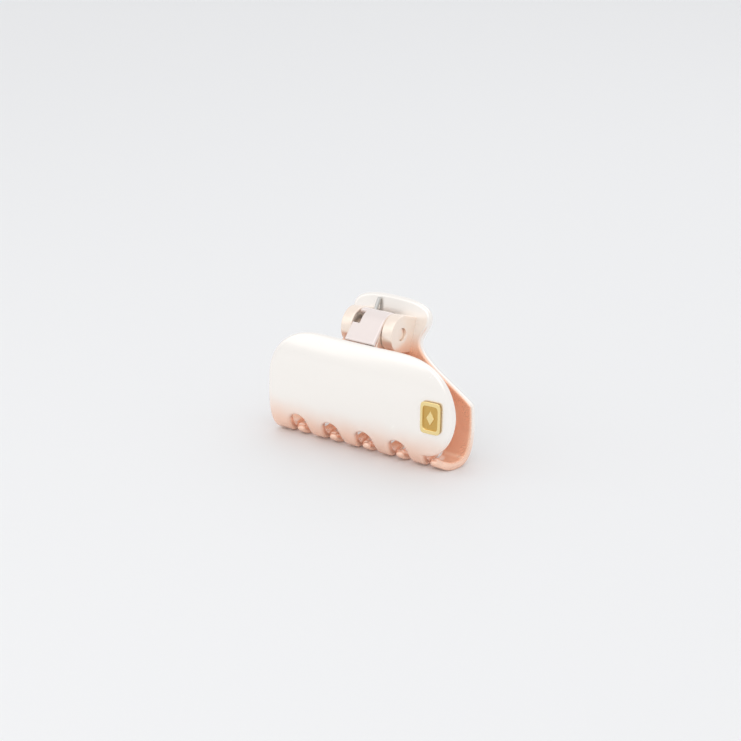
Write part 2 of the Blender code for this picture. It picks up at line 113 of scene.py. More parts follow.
@dataclass(frozen=True)
class OvalSizes:
    """The squared oval that both jaws share, seen along X."""

    middle_y: float
    half_depth: float = 6.8 * MM
    half_height: float = 13.6 * MM
    land_depth: float = 0.12 * MM
    power: float = 2.6
    end_sweep: float = 1.2 * MM
    wall: float = 1.9 * MM
    rim: float = 0.75 * MM

    @property
    def middle_z(self) -> float:
        """Height of the oval's middle. Its bottom lies below Z = 0 by the land's depth."""
        return self.half_height - self.land_depth


@dataclass(frozen=True)
class CombSizes:
    """Teeth and ends of a jaw, on the unrolled skin."""

    closed_reach: float
    open_reach: float = 26.3 * MM
    teeth: int = 5
    pitch: float = 9.1 * MM
    shift: float = 2.1 * MM
    notch_width: float = 4.7 * MM
    notch_top: float = 5.6 * MM
    tip_width: float = 2.4 * MM
    tip_height: float = 2.0 * MM
    flank_deg: float = 10.0


@dataclass(frozen=True)
class NeckSizes:
    """The neck plate of the front jaw."""

    edge_depth: float = 3.6 * MM
    plate: float = 1.4 * MM
    crown_deg: float = 70.0
    window_top_deg: float = 100.0
    window_below: float = 1.0 * MM
    window_width: float = 1.8 * MM
    root_drop: float = 4.2 * MM
    rim: float = 0.35 * MM
    half_width: float = 9.1 * MM
    shoulder_power: float = 0.8
    knuckle_sink: float = 0.12 * MM


@dataclass(frozen=True)
class LeverSizes:
    """The thumb lever and waist of the back jaw."""

    top: float = 32.7 * MM
    set_back: float = 2.3 * MM
    lean_deg: float = 10.0
    half_width: float = 10.5 * MM
    power: float = 2.7
    widest_below_top: float = 4.4 * MM
    waist_half_width: float = 9.1 * MM
    waist_height: float = 24.2 * MM
    shoulder_in: float = 1.6
    shoulder_up: float = 0.62


@dataclass(frozen=True)
class SpringSizes:
    """The torsion spring."""

    wire: float = 0.45 * MM
    coil: float = 2.25 * MM
    turns: int = 3
    gap: float = 0.12 * MM
    bend: float = 0.6 * MM
    front_leg: float = 0.3 * MM


@dataclass(frozen=True)
class BadgeSizes:
    """The stamped badge on the front face."""

    x: float = 21.1 * MM
    z: float = 13.6 * MM
    half_width: float = 2.45 * MM
    half_height: float = 3.6 * MM
    corner_power: float = 7.0
    lift: float = 0.02 * MM
    plate: float = 0.36 * MM
    relief: float = 0.38 * MM
    rim: float = 0.7 * MM
    slope: float = 0.16 * MM
    lozenge_share: float = 0.62
    ridge_share: float = 0.25
    dome_share: float = 0.12
    edge_round: float = 0.12 * MM


# ---------------------------------------------------------------- curves


def full_turn(count: int) -> np.ndarray:
    """Even angles round a circle, without the last."""
    return np.linspace(0.0, 2 * math.pi, count, endpoint=False)


def quarter_turn(count: int) -> np.ndarray:
    """Even angles from 0 to a right angle."""
    return np.linspace(0.0, math.pi / 2, count)


def directions(angles: np.ndarray) -> np.ndarray:
    """Unit vectors in a plane at these angles."""
    return np.stack([np.cos(angles), np.sin(angles)], axis=1)


def eased(count: int) -> np.ndarray:
    """Values from -1 to 1 that crowd at both ends: the sine of even steps."""
    return np.sin(np.linspace(-math.pi / 2, math.pi / 2, count))


def spread(low: float, high: float, count: int) -> np.ndarray:
    """Values from low to high that crowd at both ends."""
    return low + (high - low) * (1.0 + eased(count)) / 2


def snapped(values: np.ndarray) -> np.ndarray:
    """Values rounded to the weld size, so that neighbouring blocks meet exactly."""
    return np.round(values / WELD) * WELD


def signed_power(values: np.ndarray, power: float) -> np.ndarray:
    """Power of the size of each value, with its sign kept."""
    return np.sign(values) * np.abs(values) ** power


class Section:
    """A curve in the YZ plane, with its own length as parameter."""

    def __init__(self, points: np.ndarray, inward_sign: float) -> None:
        """Measures the curve.

        Args:
            points: (n, 2) array of y and z along the curve.
            inward_sign: 1 where the solid lies left of the curve's direction, otherwise -1.
        """
        steps = np.hypot(*np.diff(points, axis=0).T)
        self.points = points
        self.length = np.concatenate([[0.0], np.cumsum(steps)])
        slope = np.gradient(points, self.length, axis=0)
        self.tangent = slope / np.linalg.norm(slope, axis=1, keepdims=True)
        self.inward_sign = inward_sign

    @property
    def total(self) -> float:
        """Length of the whole curve."""
        return float(self.length[-1])

    def length_at_height(self, height: float) -> float:
        """Length from the top down to the first point that is this low."""
        return float(self.length[np.nonzero(self.points[:, 1] <= height)[0][0]])

    def place(self, x: np.ndarray, s: np.ndarray, depth: np.ndarray) -> np.ndarray:
        """Points of the bent sheet: the curve's point at s, moved inwards by the depth.

        Args:
            x: Places along the jaw.
            s: Lengths along the curve.
            depth: Depths below the skin.

        Returns:
            (n, 3) array of positions.
        """
        y, z, ty, tz = (
            np.interp(s, self.length, column)
            for column in (*self.points.T, *self.tangent.T)
        )
        size = np.hypot(ty, tz)
        y = y - self.inward_sign * tz / size * depth
        z = z + self.inward_sign * ty / size * depth
        return np.stack([x, y, z], axis=-1)


class JawSection(Section):
    """A section whose sheet sweeps towards the middle at its ends and stands flat on Z = 0."""

    def __init__(
        self, points: np.ndarray, inward_sign: float, oval: OvalSizes, reach: float
    ) -> None:
        """Keeps the oval, the reach at which the sweep is full, and the widest point.

        Args:
            points: (n, 2) array of y and z along the curve.
            inward_sign: 1 where the solid lies left of the curve's direction, otherwise -1.
            oval: Sizes of the oval.
            reach: Distance from the middle at which the sweep is full.
        """
        super().__init__(points, inward_sign)
        self.oval = oval
        self.reach = reach
        self.widest = self.length_at_height(oval.middle_z)

    def place(self, x: np.ndarray, s: np.ndarray, depth: np.ndarray) -> np.ndarray:
        """As Section.place, then swept: y moves inwards with the square of x.

        Args:
            x: Places along the jaw.
            s: Lengths along the curve.
            depth: Depths below the skin.

        Returns:
            (n, 3) array of positions.
        """
        skin = super().place(x, s, np.zeros_like(depth))
        spot = super().place(x, s, depth)
        side = np.where(skin[..., 1] > self.oval.middle_y, 1.0, -1.0)
        share = np.clip(skin[..., 2] / self.oval.middle_z, 0.0, 1.0)
        spot[..., 1] -= side * self.oval.end_sweep * (x / self.reach) ** 2 * share
        spot[..., 2] = np.maximum(spot[..., 2], 0.0)
        return spot


class ClipCurves:
    """The curves that the pieces share."""

    SAMPLES = 2400

    def __init__(
        self,
        hinge: HingeSizes,
        oval: OvalSizes,
        comb: CombSizes,
        neck: NeckSizes,
        lever: LeverSizes,
    ) -> None:
        """Makes both sections from the sizes.

        Args:
            hinge: Sizes round the hinge axis.
            oval: Sizes of the oval.
            comb: Teeth and ends of the jaw.
            neck: Sizes of the neck plate.
            lever: Sizes of the thumb lever.
        """
        self.hinge, self.oval, self.comb, self.neck, self.lever = hinge, oval, comb, neck, lever
        self.front = self._front()
        self.back = self._back()

    def _oval_points(self, angles: np.ndarray) -> np.ndarray:
        """Superellipse: each coordinate is a cosine or sine raised to 2 / power.

        Args:
            angles: Angles round the oval's middle.

        Returns:
            (n, 2) array of y and z.
        """
        o = self.oval
        y = o.middle_y + o.half_depth * signed_power(np.cos(angles), 2 / o.power)
        z = o.middle_z + o.half_height * signed_power(np.sin(angles), 2 / o.power)
        return np.stack([y, z], axis=1)

    def _tip_angle(self) -> float:
        """Angle past the bottom at which the skin is back up at the tips' height."""
        share = (self.oval.middle_z - self.comb.tip_height) / self.oval.half_height
        return math.asin(share ** (self.oval.power / 2))

    def _front(self) -> JawSection:
        """From the neck's front edge, down the face and under to the tips at the back.

        Returns:
            The front jaw's section.
        """
        o = self.oval
        edge = math.acos((self.neck.edge_depth / o.half_depth) ** (o.power / 2))
        angles = np.linspace(math.pi - edge, 2 * math.pi - self._tip_angle(), self.SAMPLES)
        return JawSection(self._oval_points(angles), 1.0, o, self.comb.open_reach)

    def _back(self) -> JawSection:
        """A cubic from the lever's top to the widest point, then the oval.

        Returns:
            The back jaw's section.
        """
        o, lever, hinge = self.oval, self.lever, self.hinge
        lean = math.radians(lever.lean_deg)
        start = np.array([hinge.axis_y + hinge.barrel_radius + o.wall + lever.set_back, lever.top])
        end = np.array([o.middle_y + o.half_depth, o.middle_z])
        reach = lever.top - o.middle_z
        start_pull = reach * np.array([-math.sin(lean), -math.cos(lean)])
        end_pull = reach * np.array([0.0, -1.0])
        t = np.linspace(0.0, 1.0, self.SAMPLES // 2)[:, None]
        upper = (
            (2 * t**3 - 3 * t**2 + 1) * start
            + (t**3 - 2 * t**2 + t) * start_pull
            + (3 * t**2 - 2 * t**3) * end
            + (t**3 - t**2) * end_pull
        )
        lower = self._oval_points(np.linspace(0.0, -math.pi + self._tip_angle(), self.SAMPLES))
        points = np.concatenate([upper, lower[1:]])
        return JawSection(points, -1.0, o, self.comb.open_reach)

    @property
    def edge(self) -> Vector:
        """Front edge of the neck plate, as (y, z)."""
        return Vector(self.front.points[0])

    @property
    def leave_angle(self) -> float:
        """Angle of the barrel's radius where the neck plate's plane leaves the barrel.

        Returns:
            The angle in radians, from +Y towards +Z.
        """
        away = self.edge - Vector((self.hinge.axis_y, self.hinge.axis_z))
        reach = math.acos(self.hinge.barrel_radius / away.length)
        return math.atan2(away.y, away.x) % (2 * math.pi) - reach


# ---------------------------------------------------------------- meshes


@dataclass
class Surface:
    """Points, quads and the named values on each point."""

    points: np.ndarray
    quads: np.ndarray
    values: dict


def grid_quads(rows: int, columns: int, wrap: bool = False, close: bool = False) -> np.ndarray:
    """Quads of a grid of points stored row by row.

    Args:
        rows: Number of rows of points.
        columns: Number of columns of points.
        wrap: Whether the last column joins the first.
        close: Whether the last row joins the first.

    Returns:
        (n, 4) array of point numbers.
    """
    index = np.arange(rows * columns).reshape(rows, columns)
    if wrap:
        index = np.concatenate([index, index[:, :1]], axis=1)
    if close:
        index = np.concatenate([index, index[:1]])
    corners = (index[:-1, :-1], index[:-1, 1:], index[1:, 1:], index[1:, :-1])
    return np.stack([corner.ravel() for corner in corners], axis=1)


def welded(points: np.ndarray, quads: np.ndarray) -> tuple:
    """Makes coincident points one.

    Args:
        points: (n, 3) or (n, 2) array of positions.
        quads: (m, 4) array of point numbers.

    Returns:
        The kept points, the renumbered quads, and the number of the first point of each.
    """
    key = np.round(points / WELD).astype(np.int64)
    _, first, index = np.unique(key, axis=0, return_index=True, return_inverse=True)
    return points[first], index.reshape(-1)[quads], first


def split_collapsed(quads: np.ndarray) -> tuple:
    """Parts quads that lost a corner by welding from whole ones.

    Args:
        quads: (m, 4) array of point numbers.

    Returns:
        Whole quads, and triangles.
    """
    same = quads == np.roll(quads, -1, axis=1)
    once = same.sum(axis=1) == 1
    keep = (same[once].argmax(axis=1)[:, None] + np.array([1, 2, 3])) % 4
    return quads[~same.any(axis=1)], np.take_along_axis(quads[once], keep, axis=1)


def make_object(name: str, surface: Surface) -> bpy.types.Object:
    """Builds a smooth object from a surface, with its faces outwards.

    Args:
        name: Name of the piece.
        surface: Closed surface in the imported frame.

    Returns:
        The linked object.
    """
    points, quads, first = welded(surface.points, surface.quads)
    whole, triangles = split_collapsed(quads)
    mesh = bpy.data.meshes.new(name)
    mesh.vertices.add(len(points))
    mesh.vertices.foreach_set("co", points.ravel().astype(np.float32))
    mesh.loops.add(whole.size + triangles.size)
    corners = np.concatenate([whole.ravel(), triangles.ravel()])
    mesh.loops.foreach_set("vertex_index", corners.astype(np.int32))
    sizes = np.concatenate([np.full(len(whole), 4), np.full(len(triangles), 3)])
    mesh.polygons.add(len(sizes))
    mesh.polygons.foreach_set("loop_start", (np.cumsum(sizes) - sizes).astype(np.int32))
    mesh.update(calc_edges=True)
    if signed_volume(points, whole, triangles) < 0:
        mesh.flip_normals()
    for label, values in surface.values.items():
        layer = mesh.attributes.new(label, "FLOAT", "POINT")
        layer.data.foreach_set("value", values[first].astype(np.float32))
    mesh.shade_smooth()
    obj = bpy.data.objects.new(name, mesh)
    bpy.context.scene.collection.objects.link(obj)
    LOG.info("%s: %d points, %d faces", name, len(points), len(sizes))
    return obj


def round_axis(
    hinge: HingeSizes, x: np.ndarray, radius: np.ndarray, angles: np.ndarray
) -> np.ndarray:
    """Points at places x along the hinge axis, at these radii and angles round it.

    Args:
        hinge: Sizes that hold the axis.
        x: Places along the axis.
        radius: Distances from the axis.
        angles: Angles from +Y towards +Z.

    Returns:
        (n, 3) array of positions, row by row.
    """
    y = hinge.axis_y + radius * np.cos(angles)
    z = hinge.axis_z + radius * np.sin(angles)
    return np.stack([np.broadcast_to(x, y.shape), y, z], axis=-1).reshape(-1, 3)


def signed_volume(points: np.ndarray, quads: np.ndarray, triangles: np.ndarray) -> float:
    """Volume inside the faces: a sum of tetrahedra to the middle, below 0 where they face in.

    Args:
        points: (n, 3) array of positions.
        quads: (m, 4) array of point numbers.
        triangles: (k, 3) array of point numbers.

    Returns:
        The volume in cubic metres.
    """
    faces = np.concatenate([quads[:, [0, 1, 2]], quads[:, [0, 2, 3]], triangles])
    a, b, c = (points[faces[:, i]] - points.mean(axis=0) for i in range(3))
    return float(np.einsum("ij,ij->i", a, np.cross(b, c)).sum() / 6)


def distance_to_rim(flat: np.ndarray, quads: np.ndarray) -> tuple:
    """Distance of each point of a flat sheet to the sheet's outline.

    The outline is the set of edges that only one face uses, and the distance to a segment is
    that to the nearest point of it.

    Args:
        flat: (n, 2) array of x and s.
        quads: (m, 4) array of point numbers.

    Returns:
        The distances, and whether each point lies on the outline.
    """
    whole, triangles = split_collapsed(quads)
    edges = [
        np.stack([f, np.roll(f, -1, axis=1)], axis=-1).reshape(-1, 2) for f in (whole, triangles)
    ]
    edges = np.sort(np.concatenate(edges), axis=1)
    ends, count = np.unique(edges, axis=0, return_counts=True)
    rim = ends[count == 1]
    start, along = flat[rim[:, 0]], flat[rim[:, 1]] - flat[rim[:, 0]]
    scale = (along**2).sum(axis=1)
    nearest = np.full(len(flat), np.inf)
    blocks = np.array_split(np.arange(len(rim)), max(1, len(rim) // RIM_BLOCK))
    for block in blocks:
        away = flat[:, None, :] - start[None, block]
        t = np.clip((away * along[block]).sum(axis=2) / scale[block], 0.0, 1.0)
        gap = away - t[..., None] * along[block]
        nearest = np.minimum(nearest, np.sqrt((gap**2).sum(axis=2)).min(axis=1))
    on_rim = np.zeros(len(flat), bool)
    on_rim[rim.ravel()] = True
    return nearest, on_rim


def thick_sheet(patches: list, section: Section, thickness: float, rim: float) -> Surface:
    """Bends a flat sheet along a section and gives it thickness with a round rim.

    Half the thickness at a distance d from the outline is a quarter ellipse of that width:
    h = thickness / 2 * sqrt(1 - (1 - d / rim) ** 2), and full from d = rim inwards.

    Args:
        patches: Pairs of equal (rows, columns) arrays of x and s.
        section: The curve that the sheet is bent along.
        thickness: Full thickness, counted inwards from the skin.
        rim: Width of the rounding.

    Returns:
        A closed surface with the value "inside", 0 outside to 1 inside.
    """
    points, quads, offset = [], [], 0
    for x, s in patches:
        points.append(np.stack([x.ravel(), s.ravel()], axis=1))
        quads.append(grid_quads(*x.shape) + offset)
        offset += x.size
    flat, faces, _ = welded(np.concatenate(points), np.concatenate(quads))
    distance, on_rim = distance_to_rim(flat, faces)
    round_off = 1.0 - np.minimum(distance, rim) / rim
    half = np.where(on_rim, 0.0, thickness / 2 * np.sqrt(np.maximum(0.0, 1.0 - round_off**2)))
    outer = section.place(flat[:, 0], flat[:, 1], thickness / 2 - half)
    inner = section.place(flat[:, 0], flat[:, 1], thickness / 2 + half)
    inside = half / (thickness / 2)
    return Surface(
        np.concatenate([outer, inner]),
        np.concatenate([faces, faces[:, ::-1] + len(flat)]),
        {"inside": np.concatenate([np.zeros(len(flat)), inside])},
    )


# ---------------------------------------------------------------- jaws


class JawSheet:
    """The flat sheet of a jaw: an upper block, a block for each tooth and notch, and the ends."""

    BODY_ROWS = 30
    FLANK_ROWS = 26
    TIP_ROWS = 11
    ACROSS = 19
    END_COLUMNS = 22
    CLOSED_EXTRA = 8
    CROWDING = 1.9

    def __init__(
        self, section: JawSection, comb: CombSizes, widths: tuple, upper_rows: np.ndarray
    ) -> None:
        """Keeps what the blocks share.

        Args:
            section: The jaw's section.
            comb: Teeth and ends.
            widths: Two functions of s, the reach at the closed end and at the open end.
            upper_rows: Lengths of the rows above the widest point.
        """
        self.comb, self.widths, self.upper_rows = comb, widths, upper_rows
        self.power = section.oval.power
        self.radius = comb.tip_width / 2
        self.half_notch = comb.notch_width / 2
        self.half_root = comb.pitch / 2 - self.half_notch
        self.s_widest = section.widest
        self.s_notch = section.length_at_height(comb.notch_top) + self.half_notch
        self.s_centre = section.total - self.radius
        flank = math.radians(comb.flank_deg)
        self.flank_half = self.radius * math.cos(flank)
        self.s_flank = self.s_centre + self.radius * math.sin(flank)
        self.body_share = 1.0 - (1.0 - np.linspace(0.0, 1.0, self.BODY_ROWS)) ** self.CROWDING
        self.body_rows = self.s_widest + (self.s_notch - self.s_widest) * self.body_share
        middle = (comb.teeth - 1) / 2
        self.centres = (np.arange(comb.teeth) - middle) * comb.pitch - comb.shift

    def tooth_rows(self) -> np.ndarray:
        """Rows of a tooth: down to the notch line, along the flank, then round the tip.

        Returns:
            Lengths along the section.
        """
        flank = np.linspace(self.s_notch, self.s_flank, self.FLANK_ROWS)[1:]
        turn = np.linspace(math.radians(self.comb.flank_deg), math.pi / 2, self.TIP_ROWS)[1:]
        return np.concatenate([self.body_rows, flank, self.s_centre + self.radius * np.sin(turn)])

    def half_width(self, s: np.ndarray) -> np.ndarray:
        """Half a tooth's width: straight, then a taper, then a half circle.

        Args:
            s: Lengths along the section.

        Returns:
            Half the width at each.
        """
        share = np.clip((s - self.s_notch) / (self.s_flank - self.s_notch), 0.0, 1.0)
        taper = self.half_root + (self.flank_half - self.half_root) * share
        tip = np.sqrt(np.maximum(0.0, self.radius**2 - (s - self.s_centre) ** 2))
        return np.where(s > self.s_flank, tip, taper)

    def tooth(self, centre: float) -> tuple:
        """Block of one tooth.

        Args:
            centre: Middle of the tooth, in x.

        Returns:
            Grids of x and s.
        """
        s = self.tooth_rows()
        x = centre + self.half_width(s)[:, None] * eased(self.ACROSS)
        return x, np.broadcast_to(s[:, None], x.shape)

    def closed_tooth(self) -> tuple:
        """Block of the first tooth, whose outer flank is the jaw's rounded end.

        The outer flank is a quarter superellipse from the widest point to the tip's flank.

        Returns:
            Grids of x and s.
        """
        s = self.tooth_rows()
        bulge = 2 / self.power
        centre = self.centres[0]
        flank_x = centre - self.flank_half
        share = np.clip((s - self.s_widest) / (self.s_flank - self.s_widest), 0.0, 1.0)
        cosine = np.sqrt(1.0 - share ** (2 / bulge))
        left = flank_x - (self.comb.closed_reach + flank_x) * cosine**bulge
        half = self.half_width(s)
        left = np.where(s > self.s_flank, centre - half, left)
        right = centre + half
        across = spread(0.0, 1.0, self.ACROSS + self.CLOSED_EXTRA)
        x = left[:, None] + (right - left)[:, None] * across
        return x, np.broadcast_to(s[:, None], x.shape)

    def column_block(self, x: np.ndarray, s_end: np.ndarray) -> tuple:
        """Block of upright columns, each from the widest line down to its own end."""
        s = self.s_widest + (s_end - self.s_widest)[None, :] * self.body_share[:, None]
        return np.broadcast_to(x[None, :], s.shape), s

    def notch(self, centre: float) -> tuple:
        """Block over a notch: its lower edge is a half circle.

        Args:
            centre: Middle of the notch, in x.

        Returns:
            Grids of x and s.
        """
        turn = np.linspace(math.pi, 0.0, self.ACROSS)
        x = centre + self.half_notch * np.cos(turn)
        return self.column_block(x, self.s_notch - self.half_notch * np.sin(turn))

    def open_end(self) -> tuple:
        """Block beyond the last tooth: its lower edge is a quarter ellipse.

        Returns:
            Grids of x and s.
        """
        turn = quarter_turn(self.END_COLUMNS)
        root = self.centres[-1] + self.half_root
        x = root + (self.comb.open_reach - root) * np.sin(turn)
        s_end = self.s_widest + (self.s_notch - self.s_widest) * np.cos(turn)
        return self.column_block(x, s_end)

    def upper(self, lower: list) -> tuple:
        """Block above the widest line: each row spans the jaw's width at that height.

        Args:
            lower: The blocks below, from the closed end to the open one.

        Returns:
            Grids of x and s.
        """
        along = np.unique(snapped(np.concatenate([x[0] for x, _ in lower])))
        reach = self.comb.closed_reach + self.comb.open_reach
        share = (along + self.comb.closed_reach) / reach
        left, right = (width(self.upper_rows) for width in self.widths)
        x = -left[:, None] + (left + right)[:, None] * share
        return x, np.broadcast_to(self.upper_rows[:, None], x.shape)

    def patches(self) -> list:
        """All blocks of the sheet, with the closed end at -X.

        Returns:
            Pairs of grids of x and s.
        """
        lower = [self.closed_tooth()]
        for centre in self.centres[1:]:
            lower.append(self.notch(centre - self.comb.pitch / 2))
            lower.append(self.tooth(centre))
        lower.append(self.open_end())
        lower = [(snapped(x), snapped(s)) for x, s in lower]
        return [self.upper(lower), *lower]


class FrontJaw:
    """Smooth face with a comb below, a neck plate, and a knuckle round the pin."""

    UPPER_ROWS = 46
    CROWDING = 1.7
    ARC_SAMPLES = 400
    STRAIGHT_SAMPLES = 300
    STRIP_ROWS = 24
    PLATE_ROWS = 34
    WIDE_COLUMNS = 44
    NARROW_COLUMNS = 22

    def __init__(self, curves: ClipCurves) -> None:
        """Keeps the curves."""
        self.curves = curves

    def build(self) -> list:
        """Makes the pieces of the front jaw.

        Returns:
            The face, the neck plate and the knuckle.
        """
        return [self._face(), self._neck(), self._knuckle()]

    def _face(self) -> bpy.types.Object:
        """Smooth face and its teeth, as one sheet.

        Returns:
            The face's object.
        """
        c = self.curves
        section, comb, neck = c.front, c.comb, c.neck

        def width(reach: float) -> Callable:
            """Half width of the shoulder that ends at this reach.

            Args:
                reach: Half width of the jaw at its widest point.

            Returns:
                A function from lengths to half widths.
            """

            def at(s: np.ndarray) -> np.ndarray:
                """Shoulder: a quarter superellipse from the neck's half width to the reach."""
                cosine = np.sqrt(np.maximum(0.0, 1.0 - (1.0 - s / section.widest) ** 2))
                return neck.half_width + (reach - neck.half_width) * cosine**neck.shoulder_power

            return at

        rows = section.widest * np.linspace(0.0, 1.0, self.UPPER_ROWS) ** self.CROWDING
        sheet = JawSheet(section, comb, (width(comb.closed_reach), width(comb.open_reach)), rows)
        surface = thick_sheet(sheet.patches(), section, c.oval.wall, c.oval.rim)
        return make_object("front_face", surface)

    def _neck_section(self) -> Section:
        """Outer line of the neck plate: an arc over the barrel, then straight to the face.

        Returns:
            The section, from the crown down.
        """
        c = self.curves
        angles = np.linspace(math.radians(c.neck.crown_deg), c.leave_angle, self.ARC_SAMPLES)
        centre = np.array([c.hinge.axis_y, c.hinge.axis_z])
        curve = centre + c.hinge.barrel_radius * directions(angles)
        straight = np.linspace(curve[-1], np.array(c.edge), self.STRAIGHT_SAMPLES)[1:]
        return Section(np.concatenate([curve, straight]), 1.0)

    def _neck(self) -> bpy.types.Object:
        """Plate in blocks: a wide side without a gap, and a narrow side that leaves the window.

        Returns:
            The neck plate's object.
        """
        c = self.curves
        section = self._neck_section()
        outer = c.hinge.knuckle_x
        window_x = c.neck.window_width - outer
        crown, leave = math.radians(c.neck.crown_deg), c.leave_angle
        high = c.hinge.barrel_radius * (math.radians(c.neck.window_top_deg) - crown)
        arc_length = c.hinge.barrel_radius * (leave - crown)
        low = arc_length + c.neck.window_below
        strip = spread(0.0, high, self.STRIP_ROWS)
        beside = spread(high, low, self.PLATE_ROWS)
        below = spread(low, section.total, self.PLATE_ROWS)
        wide = spread(window_x, outer, self.WIDE_COLUMNS)
        narrow = spread(-outer, window_x, self.NARROW_COLUMNS)
        patches = []
        blocks = [(wide, rows) for rows in (strip, beside, below)]
        for x, s in (*blocks, (narrow, strip), (narrow, below)):
            along, down = np.meshgrid(x, s)
            patches.append((snapped(along), snapped(down)))
        return make_object("neck_plate", thick_sheet(patches, section, c.neck.plate, c.neck.rim))

    def _knuckle(self) -> bpy.types.Object:
        """Ring under the plate, sunk a little so that the plate covers it.

        Returns:
            The knuckle's object.
        """
        c = self.curves
        middle = c.edge.x + c.oval.wall / 2
        roots = [(middle, c.edge.y - drop) for drop in (c.oval.wall / 2, c.neck.root_drop)]
        ring = HingeRing(c.hinge, c.hinge.barrel_radius - c.neck.knuckle_sink, roots)
        outer = c.hinge.knuckle_x
        return make_object("knuckle", ring.surface(outer - c.hinge.knuckle_width, outer))


class BackJaw:
    """Comb, shoulders, waist and thumb lever in one sheet, and two ears round the pin."""

    LEVER_ROWS = 22
    WAIST_ROWS = 64
    SAMPLES = 400

    def __init__(self, curves: ClipCurves) -> None:
        """Keeps the curves."""
        self.curves = curves

    def build(self) -> list:
        """Makes the pieces of the back jaw.

        Returns:
            The sheet and the two ears.
        """
        hinge = self.curves.hinge
        ring = HingeRing(hinge, hinge.barrel_radius, self._ear_roots())
        inner = hinge.half_length - hinge.ear_width
        left = make_object("left_ear", ring.surface(-hinge.half_length, -inner))
        right = make_object("right_ear", ring.surface(inner, hinge.half_length))
        return [self._sheet(), left, right]

    def _ear_roots(self) -> list:
        """Two points (y, z) inside the back wall, above and below the hinge.

        Returns:
            The two points.
        """
        c = self.curves
        points = []
        for rise in (c.hinge.ear_root_above, -c.hinge.ear_root_below):
            height = c.hinge.axis_z + rise
            s = np.array([c.back.length_at_height(height)])
            spot = c.back.place(np.zeros(1), s, np.array([c.oval.wall / 2]))[0]
            points.append((spot[1], spot[2]))
        return points

    def _reach(self, end: float) -> Callable:
        """Half width of the upper part as a function of s.

        The shoulder, the waist's eased widening and the lever's superellipse are sampled as
        curves, and the width is read between the samples.

        Args:
            end: Half width of the jaw at its widest point.

        Returns:
            A function from lengths to half widths.
        """
        c, lever = self.curves, self.curves.lever
        s_widest = c.back.widest
        s_neck = c.back.length_at_height(lever.waist_height)
        turn = quarter_turn(self.SAMPLES)
        waist = lever.waist_half_width
        x_shoulder = waist + (end - waist) * (1.0 - np.sin(turn) ** lever.shoulder_in)
        s_shoulder = s_widest + (s_neck - s_widest) * (1.0 - np.cos(turn)) ** lever.shoulder_up
        t = np.linspace(0.0, 1.0, self.SAMPLES)
        x_waist = waist + (lever.half_width - waist) * t * t * (3.0 - 2.0 * t)
        s_waist = s_neck + (lever.widest_below_top - s_neck) * t
        bulge = 2 / lever.power
        x_top = lever.half_width * np.cos(turn) ** bulge
        s_top = lever.widest_below_top * (1.0 - np.sin(turn) ** bulge)
        s_all = np.concatenate([s_shoulder, s_waist[1:], s_top[1:]])[::-1]
        x_all = np.concatenate([x_shoulder, x_waist[1:], x_top[1:]])[::-1]
        return lambda s: np.interp(s, s_all, x_all)

    def _sheet(self) -> bpy.types.Object:
        """Comb, shoulders, waist and lever, as one sheet.

        Returns:
            The sheet's object.
        """
        c, lever = self.curves, self.curves.lever
        turn = np.linspace(math.pi / 2, 0.0, self.LEVER_ROWS)
        top = lever.widest_below_top * (1.0 - np.sin(turn) ** (2 / lever.power))
        top[0] = 0.0
        rest = np.linspace(lever.widest_below_top, c.back.widest, self.WAIST_ROWS)[1:]
        rows = np.concatenate([top, rest])
        widths = (self._reach(c.comb.closed_reach), self._reach(c.comb.open_reach))
        sheet = JawSheet(c.back, c.comb, widths, rows)
        # The back jaw faces the other way, so its sheet is turned half a turn about Z.
        patches = [(-x, s) for x, s in sheet.patches()]
        surface = thick_sheet(patches, c.back, c.oval.wall, c.oval.rim)
        return make_object("back_shell", surface)


# ---------------------------------------------------------------- hinge


